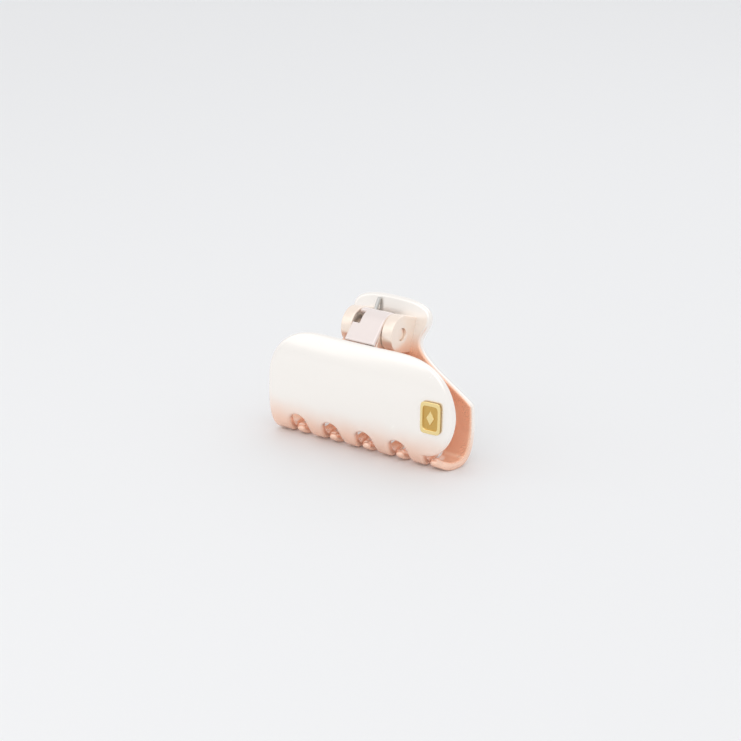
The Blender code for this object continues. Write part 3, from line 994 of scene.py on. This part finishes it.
class HingeRing:
    """A ring round the pin whose outline is the hull of the barrel and two root points."""

    STEPS = 160
    TURN_POINTS = 7
    FACE_POINTS = 6
    CORNER = 0.28 * MM
    BORE_CORNER = 0.12 * MM
    SLACK = 1e-6

    def __init__(self, hinge: HingeSizes, radius: float, roots: list) -> None:
        """Keeps the barrel's radius and the two root points (y, z)."""
        self.hinge, self.radius, self.roots = hinge, radius, roots

    def outline(self, angles: np.ndarray) -> np.ndarray:
        """Distance from the axis to the hull in each direction.

        Each ray is crossed with every side of the hull, and the crossing in front is kept.

        Args:
            angles: Directions of the rays, from +Y towards +Z.

        Returns:
            A distance for each direction.
        """
        ring = self.radius * directions(full_turn(self.STEPS))
        axis = np.array([self.hinge.axis_y, self.hinge.axis_z])
        cloud = np.concatenate([ring, np.array(self.roots) - axis])
        hull = cloud[convex_hull_2d([Vector(p) for p in cloud])]
        side = np.roll(hull, -1, axis=0) - hull
        ray = directions(angles)
        cross = ray[:, None, 0] * side[None, :, 1] - ray[:, None, 1] * side[None, :, 0]
        cross = np.where(np.abs(cross) < WELD * WELD, WELD * WELD, cross)
        reach = (hull[:, 0] * side[:, 1] - hull[:, 1] * side[:, 0])[None] / cross
        share = (hull[None, :, 0] * ray[:, None, 1] - hull[None, :, 1] * ray[:, None, 0]) / cross
        hit = (share > -self.SLACK) & (share < 1.0 + self.SLACK) & (reach > 0)
        return np.where(hit, reach, np.inf).min(axis=1)

    def surface(self, low: float, high: float) -> Surface:
        """Ring between two places along the axis, with round outer corners and an eased bore.

        Args:
            low: Place of the ring's end towards -X.
            high: Place of its end towards +X.

        Returns:
            A closed surface that is nowhere inside a jaw.
        """
        angles = full_turn(self.STEPS)
        outer = self.outline(angles)
        inner = self.hinge.pin_radius + self.hinge.pin_gap
        turn = quarter_turn(self.TURN_POINTS)
        c, b = self.CORNER, self.BORE_CORNER
        face = np.linspace(0.0, 1.0, self.FACE_POINTS)[1:-1]
        # One loop round the section: place along the axis, share from bore to outline, offset.
        near = [(low + b * (1 - math.sin(a)), 0.0, b * (1 - math.cos(a))) for a in turn]
        near += [(low, f, b * (1 - f) - c * f) for f in face]
        near += [(low + c * (1 - math.cos(a)), 1.0, -c * (1 - math.sin(a))) for a in turn]
        far = [(low + high - x, f, off) for x, f, off in near[::-1]]
        x, share, offset = np.array(near + far).T
        radius = inner + (outer[:, None] - inner) * share + offset
        points = round_axis(self.hinge, x, radius, angles[:, None])
        quads = grid_quads(len(angles), len(x), wrap=True, close=True)
        return Surface(points, quads, {"inside": np.zeros(len(points))})


class HingePin:
    """Round pin with eased, slightly domed ends."""

    STEPS = 96
    TURN_POINTS = 7
    FACE_POINTS = 9
    EDGE = 0.2 * MM
    DOME = 0.06 * MM

    def __init__(self, hinge: HingeSizes) -> None:
        """Keeps the sizes."""
        self.hinge = hinge

    def build(self) -> bpy.types.Object:
        """Turns the pin's profile round the hinge axis.

        Returns:
            The pin's object.
        """
        h = self.hinge
        end = h.half_length - h.pin_inset
        turn = quarter_turn(self.TURN_POINTS)
        share = np.linspace(0.0, 1.0, self.FACE_POINTS)[:-1]
        flat = h.pin_radius - self.EDGE
        cap_r = np.concatenate([flat * share, flat + self.EDGE * np.sin(turn)])
        rim_x = end - self.DOME - self.EDGE * (1 - np.cos(turn))
        cap_x = np.concatenate([end - self.DOME * share**2, rim_x])
        x = np.concatenate([-cap_x, cap_x[::-1]])
        radius = np.concatenate([cap_r, cap_r[::-1]])
        points = round_axis(h, x[:, None], radius[:, None], full_turn(self.STEPS))
        quads = grid_quads(len(x), self.STEPS, wrap=True)
        return make_object("pin", Surface(points, quads, {"inside": np.zeros(len(points))}))


class TorsionSpring:
    """Wire coil round the pin, with one leg on the lever and one in the knuckle."""

    SIDES = 20
    COIL_POINTS = 220
    LEG_POINTS = 24
    BEND_POINTS = 9
    CAP_POINTS = 7

    def __init__(self, curves: ClipCurves, sizes: SpringSizes) -> None:
        """Works out the coil's two ends along the axis.

        Args:
            curves: The back jaw's curves, which its leg rests on.
            sizes: Sizes of the wire and the coil.
        """
        self.curves, self.sizes = curves, sizes
        h = curves.hinge
        self.low = sizes.gap + sizes.wire - h.knuckle_x
        self.high = h.knuckle_x - h.knuckle_width - sizes.gap - sizes.wire

    def path(self) -> np.ndarray:
        """Centre line: a straight leg, a helix, a bend towards +X and a short straight leg.

        Returns:
            (n, 3) array of positions, from the lever to the knuckle.
        """
        c, s, h = self.curves, self.sizes, self.curves.hinge
        height = h.axis_z + h.barrel_radius + s.wire
        at = np.array([c.back.length_at_height(height)])
        rest = c.back.place(np.zeros(1), at, np.array([c.oval.wall]))[0]
        tip = np.array([rest[1] - s.wire - s.gap - h.axis_y, height - h.axis_z])
        start = math.atan2(tip[1], tip[0]) - math.acos(s.coil / np.hypot(*tip))
        end = math.pi - 2 * math.pi * (s.turns + 1)
        angle = np.linspace(start, end, self.COIL_POINTS)
        along = np.linspace(self.low, self.high, self.COIL_POINTS)
        coil = np.stack([along, s.coil * np.cos(angle), s.coil * np.sin(angle)], axis=1)
        first = np.array([self.low, *tip])
        legs = np.linspace(0.0, 1.0, self.LEG_POINTS)[:, None]
        back_leg = first + (coil[0] - first) * legs[:-1]
        turn = quarter_turn(self.BEND_POINTS)[1:, None]
        away = np.array([0.0, math.sin(end), -math.cos(end)])
        side = np.array([1.0, 0.0, 0.0])
        bend = coil[-1] + s.bend * (away * np.sin(turn) + side * (1.0 - np.cos(turn)))
        front_leg = bend[-1] + side * s.front_leg * legs[1:]
        axis = np.array([0.0, h.axis_y, h.axis_z])
        return np.concatenate([back_leg, coil, bend, front_leg]) + axis

    def build(self) -> bpy.types.Object:
        """Sweeps a circle along the centre line, with round ends.

        The circle's first direction points from the hinge axis, with its part along the wire
        taken away.

        Returns:
            The wire's object, with the values "along" and "around" on its points.
        """
        line = self.path()
        tangent = np.gradient(line, axis=0)
        tangent /= np.linalg.norm(tangent, axis=1, keepdims=True)
        turn = quarter_turn(self.CAP_POINTS)[1:]
        wire = self.sizes.wire
        head = line[0] - tangent[0] * wire * np.sin(turn[::-1])[:, None]
        tail = line[-1] + tangent[-1] * wire * np.sin(turn)[:, None]
        centre = np.concatenate([head, line, tail])
        ways = np.pad(tangent, ((len(turn), len(turn)), (0, 0)), "edge")
        radius = wire * np.concatenate([np.cos(turn[::-1]), np.ones(len(line)), np.cos(turn)])
        axis = np.array([0.0, self.curves.hinge.axis_y, self.curves.hinge.axis_z])
        out = (centre - axis) * np.array([0.0, 1.0, 1.0])
        first = out - (out * ways).sum(axis=1, keepdims=True) * ways
        first /= np.linalg.norm(first, axis=1, keepdims=True)
        second = np.cross(ways, first)
        angles = full_turn(self.SIDES)
        ring = first[:, None] * np.cos(angles)[:, None] + second[:, None] * np.sin(angles)[:, None]
        points = (centre[:, None] + ring * radius[:, None, None]).reshape(-1, 3)
        run = np.concatenate([[0.0], np.cumsum(np.linalg.norm(np.diff(centre, axis=0), axis=1))])
        values = {
            "along": np.repeat(run / MM, self.SIDES),
            "around": np.tile(np.cos(angles), len(centre)),
        }
        quads = grid_quads(len(centre), self.SIDES, wrap=True)
        return make_object("spring_wire", Surface(points, quads, values))


class Badge:
    """Stamped plate with a raised rim, a slightly domed field and a raised lozenge."""

    RINGS = 70
    STEPS = 220
    SIDE_ROWS = 5
    CROWDING = 0.85

    def __init__(self, curves: ClipCurves, sizes: BadgeSizes) -> None:
        """Keeps the curves and the sizes."""
        self.curves, self.sizes = curves, sizes

    def _edge(self, angles: np.ndarray) -> np.ndarray:
        """Outline of a rounded rectangle as rays from its middle: a box with high powers."""
        reach = 1.0 / self._size(np.cos(angles), np.sin(angles))
        return np.stack([reach * np.cos(angles), reach * np.sin(angles)], axis=1)

    def _size(self, x: np.ndarray, s: np.ndarray) -> np.ndarray:
        """Share of the way from the middle to the edge: a superellipse's own measure.

        Args:
            x: Distances from the middle along the jaw.
            s: Distances from the middle along the section.

        Returns:
            0 at the middle and 1 on the edge.
        """
        b, power = self.sizes, self.sizes.corner_power
        across = np.abs(x / b.half_width) ** power
        return (across + np.abs(s / b.half_height) ** power) ** (1 / power)

    def _relief(self, x: np.ndarray, s: np.ndarray) -> np.ndarray:
        """Height of the stamping: the highest of a rim, a ridged lozenge and a low dome.

        Args:
            x: Distances from the middle along the jaw.
            s: Distances from the middle along the section.

        Returns:
            Heights above the plate.
        """
        b = self.sizes
        size = self._size(x, s)
        inset = (1.0 - size) * b.half_width
        rim = self._step((b.rim - inset) / b.slope)
        inner_x = (b.half_width - b.rim) * b.lozenge_share
        inner_s = (b.half_height - b.rim) * b.lozenge_share
        loz = 1.0 - np.abs(x) / inner_x - np.abs(s) / inner_s
        ridge = 1.0 - b.ridge_share + b.ridge_share * np.clip(loz, 0.0, 1.0)
        mark = self._step(loz * inner_x / b.slope) * ridge
        dome = b.dome_share * (1.0 - size**2)
        return b.relief * np.maximum(np.maximum(rim, mark), dome)

    @staticmethod
    def _step(value: np.ndarray) -> np.ndarray:
        """Smooth step from 0 to 1 between 0 and 1."""
        t = np.clip(value, 0.0, 1.0)
        return t * t * (3.0 - 2.0 * t)

    def build(self) -> bpy.types.Object:
        """Rings from the middle to the edge, down the side, and back to the middle below.

        Returns:
            The badge's object, with the value "relief" on its points.
        """
        b, section = self.sizes, self.curves.front
        edge = self._edge(full_turn(self.STEPS))
        share = np.linspace(0.0, 1.0, self.RINGS) ** self.CROWDING
        turn = quarter_turn(self.SIDE_ROWS)[1:]
        taken = b.edge_round / b.half_width
        scale = np.concatenate([share * (1 - taken), 1 - taken * (1 - np.sin(turn)), [1.0, 0.0]])
        x = scale[:, None] * edge[:, 0]
        s = scale[:, None] * edge[:, 1]
        height = b.plate + self._relief(x, s)
        side_drop = b.edge_round * (1 - np.cos(turn))
        drop = np.concatenate([np.zeros(self.RINGS), side_drop, [0.0, 0.0]])
        height = height - drop[:, None]
        height[-2:] = b.lift
        middle = section.length_at_height(b.z)
        points = section.place(b.x + x.ravel(), middle + s.ravel(), -height.ravel())
        quads = grid_quads(len(scale), self.STEPS, wrap=True)
        values = {"relief": (height.ravel() - b.plate) / b.relief}
        return make_object("badge_stamping", Surface(points, quads, values))


# ---------------------------------------------------------------- shading


class Wire:
    """An output socket of a shader tree that can be added, subtracted and multiplied."""

    def __init__(self, tree: bpy.types.NodeTree, socket: bpy.types.NodeSocket) -> None:
        """Keeps the tree and the socket."""
        self.tree, self.socket = tree, socket

    def _maths(self, operation: str, *values: object) -> "Wire":
        """One maths node with these values.

        Args:
            operation: What the node works out.
            *values: Values or wires, in the order of its inputs.

        Returns:
            The node's output.
        """
        node = self.tree.nodes.new("ShaderNodeMath")
        node.operation = operation
        for slot, value in zip(node.inputs, values):
            connect(self.tree, slot, value)
        return Wire(self.tree, node.outputs[0])

    def __add__(self, other: object) -> "Wire":
        """Sum of this wire and a value or wire."""
        return self._maths("ADD", self, other)

    def __radd__(self, other: object) -> "Wire":
        """Sum of a value and this wire."""
        return self._maths("ADD", other, self)

    def __sub__(self, other: object) -> "Wire":
        """This wire less a value or wire."""
        return self._maths("SUBTRACT", self, other)

    def __rsub__(self, other: object) -> "Wire":
        """A value less this wire."""
        return self._maths("SUBTRACT", other, self)

    def __mul__(self, other: object) -> "Wire":
        """Product of this wire and a value or wire."""
        return self._maths("MULTIPLY", self, other)

    def __rmul__(self, other: object) -> "Wire":
        """Product of a value and this wire."""
        return self._maths("MULTIPLY", other, self)

    def node(
        self, kind: str, output: object = 0, settings: dict | None = None, **inputs: object
    ) -> "Wire":
        """Any other node, with this wire as its first input.

        Args:
            kind: The node's type name.
            output: Name or number of the output wanted.
            settings: Properties to set on the node.
            **inputs: Values or wires by input name, with _ for a space.

        Returns:
            The chosen output.
        """
        return add_node(self.tree, kind, output, settings, first=self, **inputs)


def connect(tree: bpy.types.NodeTree, slot: bpy.types.NodeSocket, value: object) -> None:
    """Links a wire to an input, or sets the input's own value.

    Args:
        tree: The tree that holds both.
        slot: The input.
        value: A wire, or a plain value.
    """
    if isinstance(value, Wire):
        tree.links.new(value.socket, slot)
    else:
        slot.default_value = value


def add_node(
    tree: bpy.types.NodeTree,
    kind: str,
    output: object = 0,
    settings: dict | None = None,
    first: object = None,
    **inputs: object,
) -> Wire:
    """Adds a node and returns one of its outputs. Inputs are named with _ for a space.

    Args:
        tree: The tree that the node goes into.
        kind: The node's type name.
        output: Name or number of the output wanted.
        settings: Properties to set on the node.
        first: Value or wire for the first input.
        **inputs: Values or wires by input name.

    Returns:
        The chosen output.
    """
    node = tree.nodes.new(kind)
    for label, value in (settings or {}).items():
        setattr(node, label, value)
    if first is not None:
        connect(tree, node.inputs[0], first)
    for label, value in inputs.items():
        connect(tree, node.inputs[label.replace("_", " ")], value)
    return Wire(tree, node.outputs[output])


def smooth_share(value: Wire, low: float, high: float) -> Wire:
    """0 below low, 1 above high, and smooth between.

    Args:
        value: What is measured.
        low: Where the share is 0.
        high: Where the share is 1.

    Returns:
        The share.
    """
    return value.node(
        "ShaderNodeMapRange",
        settings={"interpolation_type": "SMOOTHSTEP"},
        From_Min=low,
        From_Max=high,
    )


def mix_colour(share: Wire, low: object, high: object) -> Wire:
    """Colour between two colours.

    Args:
        share: 0 for the low colour and 1 for the high one.
        low: Colour or wire.
        high: Colour or wire.

    Returns:
        The colour between them.
    """
    node = share.tree.nodes.new("ShaderNodeMix")
    node.data_type = "RGBA"
    connect(share.tree, node.inputs["Factor"], share)
    for label, value in (("A", low), ("B", high)):
        slot = next(i for i in node.inputs if i.name == label and i.type == "RGBA")
        connect(share.tree, slot, value)
    return Wire(share.tree, next(o for o in node.outputs if o.type == "RGBA"))


class Finish:
    """A material under construction: its tree, its shader and common inputs."""

    def __init__(self, name: str) -> None:
        """Starts a material with this name.

        Args:
            name: Name of the material.
        """
        self.material = bpy.data.materials.new(name)
        self.material.use_nodes = True
        self.tree = self.material.node_tree
        self.shader = self.tree.nodes["Principled BSDF"]

    def coordinates(self) -> Wire:
        """Position in the object's own frame, in metres."""
        return add_node(self.tree, "ShaderNodeTexCoord", "Object")

    def attribute(self, name: str) -> Wire:
        """A value stored on the mesh."""
        return add_node(self.tree, "ShaderNodeAttribute", "Fac", {"attribute_name": name})

    def noise(self, vector: Wire, scale: float, detail: float = 3.0) -> Wire:
        """Soft noise between 0 and 1, about NOISE_MIDDLE."""
        sizes = {"Vector": vector, "Scale": scale, "Detail": detail}
        return add_node(self.tree, "ShaderNodeTexNoise", "Fac", **sizes)

    def set(self, **inputs: object) -> None:
        """Sets inputs of the shader by name, with _ for a space."""
        for label, value in inputs.items():
            connect(self.tree, self.shader.inputs[label.replace("_", " ")], value)

    def bump(self, height: Wire, distance: float, strength: float = 1.0) -> None:
        """Gives the shader a normal from a height."""
        sizes = {"Strength": strength, "Distance": distance, "Height": height}
        self.set(Normal=add_node(self.tree, "ShaderNodeBump", "Normal", **sizes))


@dataclass(frozen=True)
class PearlLacquer:
    """Rose-gold lacquer: a painted pale pearl highlight above, peach below (the lacquer's rose
    tone with painted shade and floor reflection), painted copper shade on the inner side.
    """

    # Painted highlight colour up high; peach low down is the rose tone with painted shade and
    # floor reflection.
    lit_pearl: tuple = (1.0, 0.96, 0.915, 1.0)
    peach: tuple = (1.0, 0.67, 0.52, 1.0)
    # Painted shade colour for the inner side.
    shade_copper: tuple = (0.98, 0.60, 0.42, 1.0)
    flake: tuple = (1.0, 0.97, 0.94, 1.0)
    # Heights over which the painted inner shade fades out.
    shade_full: float = 22.0 * MM
    shade_gone: float = 27.0 * MM
    # Heights over which the painted highlight takes over from the peach.
    sheen_low: float = 1.5 * MM
    sheen_high: float = 10.5 * MM
    flake_scale: float = 5200.0
    flake_detail: float = 1.0
    cloud_scale: float = 160.0
    sparkle: float = 0.12
    roughness: float = 0.24
    metallic: float = 0.62
    coat: float = 0.55
    coat_roughness: float = 0.07
    cloud_depth: float = 0.01 * MM
    sheen_drift: float = 3.0 * MM
    inner_low: float = 0.45
    inner_high: float = 0.95
    flake_low: float = 0.5
    flake_high: float = 0.8
    flake_clouding: float = 0.5
    inner_dulling: float = 0.3
    cloud_roughness: float = 0.10
    flake_roughness: float = 0.06
    inner_roughness: float = 0.04
    cloud_coat: float = 0.15

    def build(self, name: str) -> bpy.types.Material:
        """Makes the material.

        Args:
            name: Name of the material.

        Returns:
            The material.
        """
        finish = Finish(name)
        place = finish.coordinates()
        height = place.node("ShaderNodeSeparateXYZ", "Z")
        cloud = finish.noise(place, self.cloud_scale)
        flake = finish.noise(place, self.flake_scale, self.flake_detail)
        cloudy, flaky = cloud - NOISE_MIDDLE, flake - NOISE_MIDDLE
        # Painted highlight and shade by height: pale pearl up high where light from above
        # reflects, peach low down where floor reflection and shade fall.
        painted_sheen = smooth_share(height + cloudy * self.sheen_drift, self.sheen_low, self.sheen_high)
        outside = mix_colour(painted_sheen, self.peach, self.lit_pearl)
        # Painted shade: copper on the inner side low down, where shade and warm bounce light fall,
        # fading out higher up.
        low_down = 1.0 - smooth_share(height, self.shade_full, self.shade_gone)
        inner = smooth_share(finish.attribute("inside"), self.inner_low, self.inner_high)
        inside = inner * low_down
        base = mix_colour(inside, outside, self.shade_copper)
        glint = flake + cloudy * self.flake_clouding
        sparkle = smooth_share(glint, self.flake_low, self.flake_high) * self.sparkle
        unevenness = cloudy * self.cloud_roughness + flaky * self.flake_roughness
        finish.set(
            Base_Color=mix_colour(sparkle, base, self.flake),
            Metallic=self.metallic - inside * self.inner_dulling,
            Roughness=self.roughness + unevenness + inside * self.inner_roughness,
            Coat_Weight=self.coat + cloudy * self.cloud_coat,
            Coat_Roughness=self.coat_roughness,
        )
        finish.bump(cloud, self.cloud_depth)
        return finish.material


@dataclass(frozen=True)
class DrawnSteel:
    """Spring wire: fine lines along the wire and a faint brown heat tint."""

    colour: tuple = (0.60, 0.59, 0.57, 1.0)
    tint: tuple = (0.42, 0.34, 0.28, 1.0)
    line_scale: float = 14.0
    line_detail: float = 4.0
    depth: float = 0.003 * MM
    around_stretch: float = 6.0
    along_stretch: float = 0.12
    heat_scale: float = 420.0
    heat_low: float = 0.52
    heat_high: float = 0.75
    heat_share: float = 0.5
    roughness: float = 0.24
    line_roughness: float = 0.22

    def build(self, name: str) -> bpy.types.Material:
        """Makes the material.

        Args:
            name: Name of the material.

        Returns:
            The material.
        """
        finish = Finish(name)
        around = finish.attribute("around") * self.around_stretch
        along = finish.attribute("along") * self.along_stretch
        vector = add_node(finish.tree, "ShaderNodeCombineXYZ", X=around, Y=along)
        lines = finish.noise(vector, self.line_scale, self.line_detail)
        warmth = finish.noise(finish.coordinates(), self.heat_scale)
        heat = smooth_share(warmth, self.heat_low, self.heat_high)
        finish.set(
            Base_Color=mix_colour(heat * self.heat_share, self.colour, self.tint),
            Metallic=1.0,
            Roughness=self.roughness + lines * self.line_roughness,
        )
        finish.bump(lines, self.depth)
        return finish.material


@dataclass(frozen=True)
class StampedGold:
    """Polished yellow gold: darker in the stamped field, with hair-fine wiping marks."""

    bright: tuple = (0.93, 0.74, 0.36, 1.0)
    deep: tuple = (0.66, 0.42, 0.13, 1.0)
    scratch_scale: float = 900.0
    scratch_stretch: tuple = (1.0, 1.0, 0.07)
    grain_scale: float = 3500.0
    grain_detail: float = 2.0
    depth: float = 0.004 * MM
    raised_low: float = 0.15
    raised_high: float = 0.7
    roughness: float = 0.30
    raised_polish: float = 0.12
    scratch_roughness: float = 0.16
    scratch_share: float = 0.6

    def build(self, name: str) -> bpy.types.Material:
        """Makes the material.

        Args:
            name: Name of the material.

        Returns:
            The material.
        """
        finish = Finish(name)
        place = finish.coordinates()
        stretched = place.node("ShaderNodeVectorMath", 0, {"operation": "MULTIPLY"})
        stretched.socket.node.inputs[1].default_value = self.scratch_stretch
        wiping = finish.noise(stretched, self.scratch_scale)
        raised = smooth_share(finish.attribute("relief"), self.raised_low, self.raised_high)
        grain = finish.noise(place, self.grain_scale, self.grain_detail)
        scratches = (wiping - NOISE_MIDDLE) * self.scratch_roughness
        finish.set(
            Base_Color=mix_colour(raised, self.deep, self.bright),
            Metallic=1.0,
            Roughness=self.roughness - raised * self.raised_polish + scratches,
        )
        finish.bump(wiping * self.scratch_share + grain * (1.0 - raised), self.depth)
        return finish.material


@dataclass(frozen=True)
class PaleSweep:
    """Matt pale paper that the clip stands on."""

    colour: tuple = (0.86, 0.865, 0.875, 1.0)
    fibre_scale: float = 900.0
    fibre_detail: float = 4.0
    depth: float = 0.01 * MM
    strength: float = 0.4
    roughness: float = 0.55
    fibre_roughness: float = 0.1

    def build(self, name: str) -> bpy.types.Material:
        """Makes the material.

        Args:
            name: Name of the material.

        Returns:
            The material.
        """
        finish = Finish(name)
        fibre = finish.noise(finish.coordinates(), self.fibre_scale, self.fibre_detail)
        matt = self.roughness + fibre * self.fibre_roughness
        finish.set(Base_Color=self.colour, Roughness=matt)
        finish.bump(fibre, self.depth, self.strength)
        return finish.material


# ---------------------------------------------------------------- studio


@dataclass(frozen=True)
class SoftBox:
    """A square area light that looks at the clip."""

    name: str
    azimuth_deg: float
    elevation_deg: float
    distance: float
    size: float
    power: float
    colour: tuple = (1.0, 1.0, 1.0)


@dataclass(frozen=True)
class View:
    """The camera's place and lens."""

    azimuth_deg: float = 35.0
    elevation_deg: float = 20.5
    distance: float = 0.5
    lens: float = 107.85
    sensor: float = 36.0
    nearest: float = 0.01
    aim_x: float = -1.7 * MM
    aim_z: float = 16.7 * MM


class Studio:
    """Floor, soft light and camera."""

    FLOOR_HALF = 3.0
    WORLD = (0.952, 0.955, 0.962, 1.0)
    WORLD_STRENGTH = 0.93
    BOXES = (
        SoftBox("key", 5.0, 58.0, 0.45, 0.5, 0.30, (1.0, 0.99, 0.97)),
        SoftBox("left", -50.0, 28.0, 0.5, 0.30, 0.07, (1.0, 0.985, 0.97)),
        SoftBox("back", 175.0, 50.0, 0.5, 0.35, 0.11, (0.98, 0.99, 1.0)),
    )

    def __init__(self, aim: Vector, view: View) -> None:
        """Keeps the point that the lights look at, and the view."""
        self.aim, self.view = aim, view

    def build(self) -> None:
        """Puts up the floor, the lights and the camera."""
        self._floor()
        self._world()
        for box in self.BOXES:
            self._soft_box(box)
        self._camera()

    @staticmethod
    def _from(aim: Vector, azimuth_deg: float, elevation_deg: float, distance: float) -> Vector:
        """Point at an angle round the aim. Azimuth 0 is in front, at -Y, and 90 is at +X.

        Args:
            aim: The point.
            azimuth_deg: Angle round it, seen from above.
            elevation_deg: Angle above the floor.
            distance: Distance from it.

        Returns:
            The place.
        """
        azimuth, elevation = math.radians(azimuth_deg), math.radians(elevation_deg)
        flat = math.cos(elevation)
        way = Vector((math.sin(azimuth) * flat, -math.cos(azimuth) * flat, math.sin(elevation)))
        return aim + way * distance

    def _floor(self) -> None:
        """Flat pale floor at Z = 0."""
        half = self.FLOOR_HALF
        mesh = bpy.data.meshes.new("floor")
        corners = [(-half, -half, 0.0), (half, -half, 0.0), (half, half, 0.0), (-half, half, 0.0)]
        mesh.from_pydata(corners, [], [(0, 1, 2, 3)])
        mesh.materials.append(PaleSweep().build("pale_sweep"))
        floor = bpy.data.objects.new("floor", mesh)
        bpy.context.scene.collection.objects.link(floor)

    def _world(self) -> None:
        """Even light from all round."""
        world = bpy.data.worlds.new("studio")
        world.use_nodes = True
        shade = world.node_tree.nodes["Background"]
        shade.inputs["Color"].default_value = self.WORLD
        shade.inputs["Strength"].default_value = self.WORLD_STRENGTH
        bpy.context.scene.world = world

    def _soft_box(self, box: SoftBox) -> None:
        """One area light, turned to the aim.

        Args:
            box: Its sizes.
        """
        light = bpy.data.lights.new(box.name, "AREA")
        light.size = box.size
        light.energy = box.power
        light.color = box.colour
        lamp = bpy.data.objects.new(box.name, light)
        lamp.location = self._from(self.aim, box.azimuth_deg, box.elevation_deg, box.distance)
        lamp.rotation_euler = (self.aim - lamp.location).to_track_quat("-Z", "Y").to_euler()
        bpy.context.scene.collection.objects.link(lamp)

    def _camera(self) -> None:
        """Camera at the view's place."""
        v = self.view
        camera = bpy.data.cameras.new("camera")
        camera.lens = v.lens
        camera.sensor_width = v.sensor
        camera.clip_start = v.nearest
        holder = bpy.data.objects.new("camera", camera)
        aim = Vector((v.aim_x, self.aim.y, v.aim_z))
        holder.location = self._from(aim, v.azimuth_deg, v.elevation_deg, v.distance)
        holder.rotation_euler = (aim - holder.location).to_track_quat("-Z", "Y").to_euler()
        bpy.context.scene.collection.objects.link(holder)
        bpy.context.scene.camera = holder


# ---------------------------------------------------------------- assembly


class ClawClip:
    """The whole clip: its curves, pieces, finishes and the bodies they ride on."""

    # Colours painted up high on copies of the lacquer: a rosier one for the hinge pieces, and a
    # duller painted reflection for the flat neck plate.
    ROSIER = (1.0, 0.86, 0.75, 1.0)
    NECK_REFLECTION = (0.91, 0.81, 0.78, 1.0)

    def __init__(self, record: dict) -> None:
        """Reads the hinge's place from the record.

        Args:
            record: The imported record.
        """
        axis_y, axis_z = record["behaviour"]["joints"][0]["pos_m"][1:]
        self.hinge = HingeSizes(axis_y=axis_y, axis_z=axis_z)
        oval = OvalSizes(middle_y=axis_y - self.hinge.behind_middle)
        neck, lever = NeckSizes(), LeverSizes()
        front_comb = CombSizes(closed_reach=FRONT_CLOSED_REACH)
        back_comb = CombSizes(closed_reach=BACK_CLOSED_REACH)
        self.front_curves = ClipCurves(self.hinge, oval, front_comb, neck, lever)
        self.back_curves = ClipCurves(self.hinge, oval, back_comb, neck, lever)

    def build(self) -> None:
        """Makes every piece, gives it its finish and hands it to its body."""
        lacquer = PearlLacquer().build("rose_gold_lacquer")
        steel = DrawnSteel().build("drawn_steel")
        # Copies of the lacquer that change only the colour painted up high; the neck plate's is a
        # painted reflection.
        rosy = PearlLacquer(lit_pearl=self.ROSIER).build("rose_gold_hinge")
        neck = PearlLacquer(lit_pearl=self.NECK_REFLECTION).build("rose_gold_neck")
        gold = StampedGold().build("stamped_gold")
        front = FrontJaw(self.front_curves).build()
        back = BackJaw(self.back_curves).build()
        pin = HingePin(self.hinge).build()
        spring = TorsionSpring(self.back_curves, SpringSizes())
        wire = spring.build()
        badge = Badge(self.front_curves, BadgeSizes()).build()
        for piece, look in zip(front, (lacquer, neck, rosy)):
            self._hand_over(piece, look, Slot.ROSE_GOLD, "front_jaw", Body.FRONT)
        for piece, look in zip(back, (lacquer, rosy, rosy)):
            self._hand_over(piece, look, Slot.ROSE_GOLD, "back_jaw", Body.BACK)
        self._hand_over(pin, rosy, Slot.ROSE_GOLD, "hinge_pin", Body.BACK)
        self._hand_over(badge, gold, Slot.GOLD, "badge", Body.FRONT)
        self._hand_over(wire, steel, Slot.STEEL, "torsion_spring", None)
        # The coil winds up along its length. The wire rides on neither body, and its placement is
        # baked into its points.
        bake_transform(wire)

    @staticmethod
    def _hand_over(
        piece: bpy.types.Object,
        finish: bpy.types.Material,
        slot: Slot,
        node: str,
        body: Body | None,
    ) -> None:
        """Gives a piece its finish, hides the CAD node it stands for and hands it to its body.

        Args:
            piece: The piece.
            finish: Its material.
            slot: The record's material slot. Not used.
            node: Name of the CAD node.
            body: The body it rides on, or None where it rides on neither.
        """
        piece.data.materials.clear()
        piece.data.materials.append(finish)
        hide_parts(node)
        if body is not None:
            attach(piece, body.value)


def main() -> None:
    """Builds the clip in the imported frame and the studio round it."""
    logging.basicConfig(level=logging.INFO, format="%(name)s: %(message)s")
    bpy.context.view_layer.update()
    clip = ClawClip(frame["record"])
    clip.build()
    Studio(Vector((0.0, clip.hinge.axis_y, 0.0)), View()).build()
    bpy.context.scene.view_settings.view_transform = "Standard"


if __name__ == "__main__":
    main()
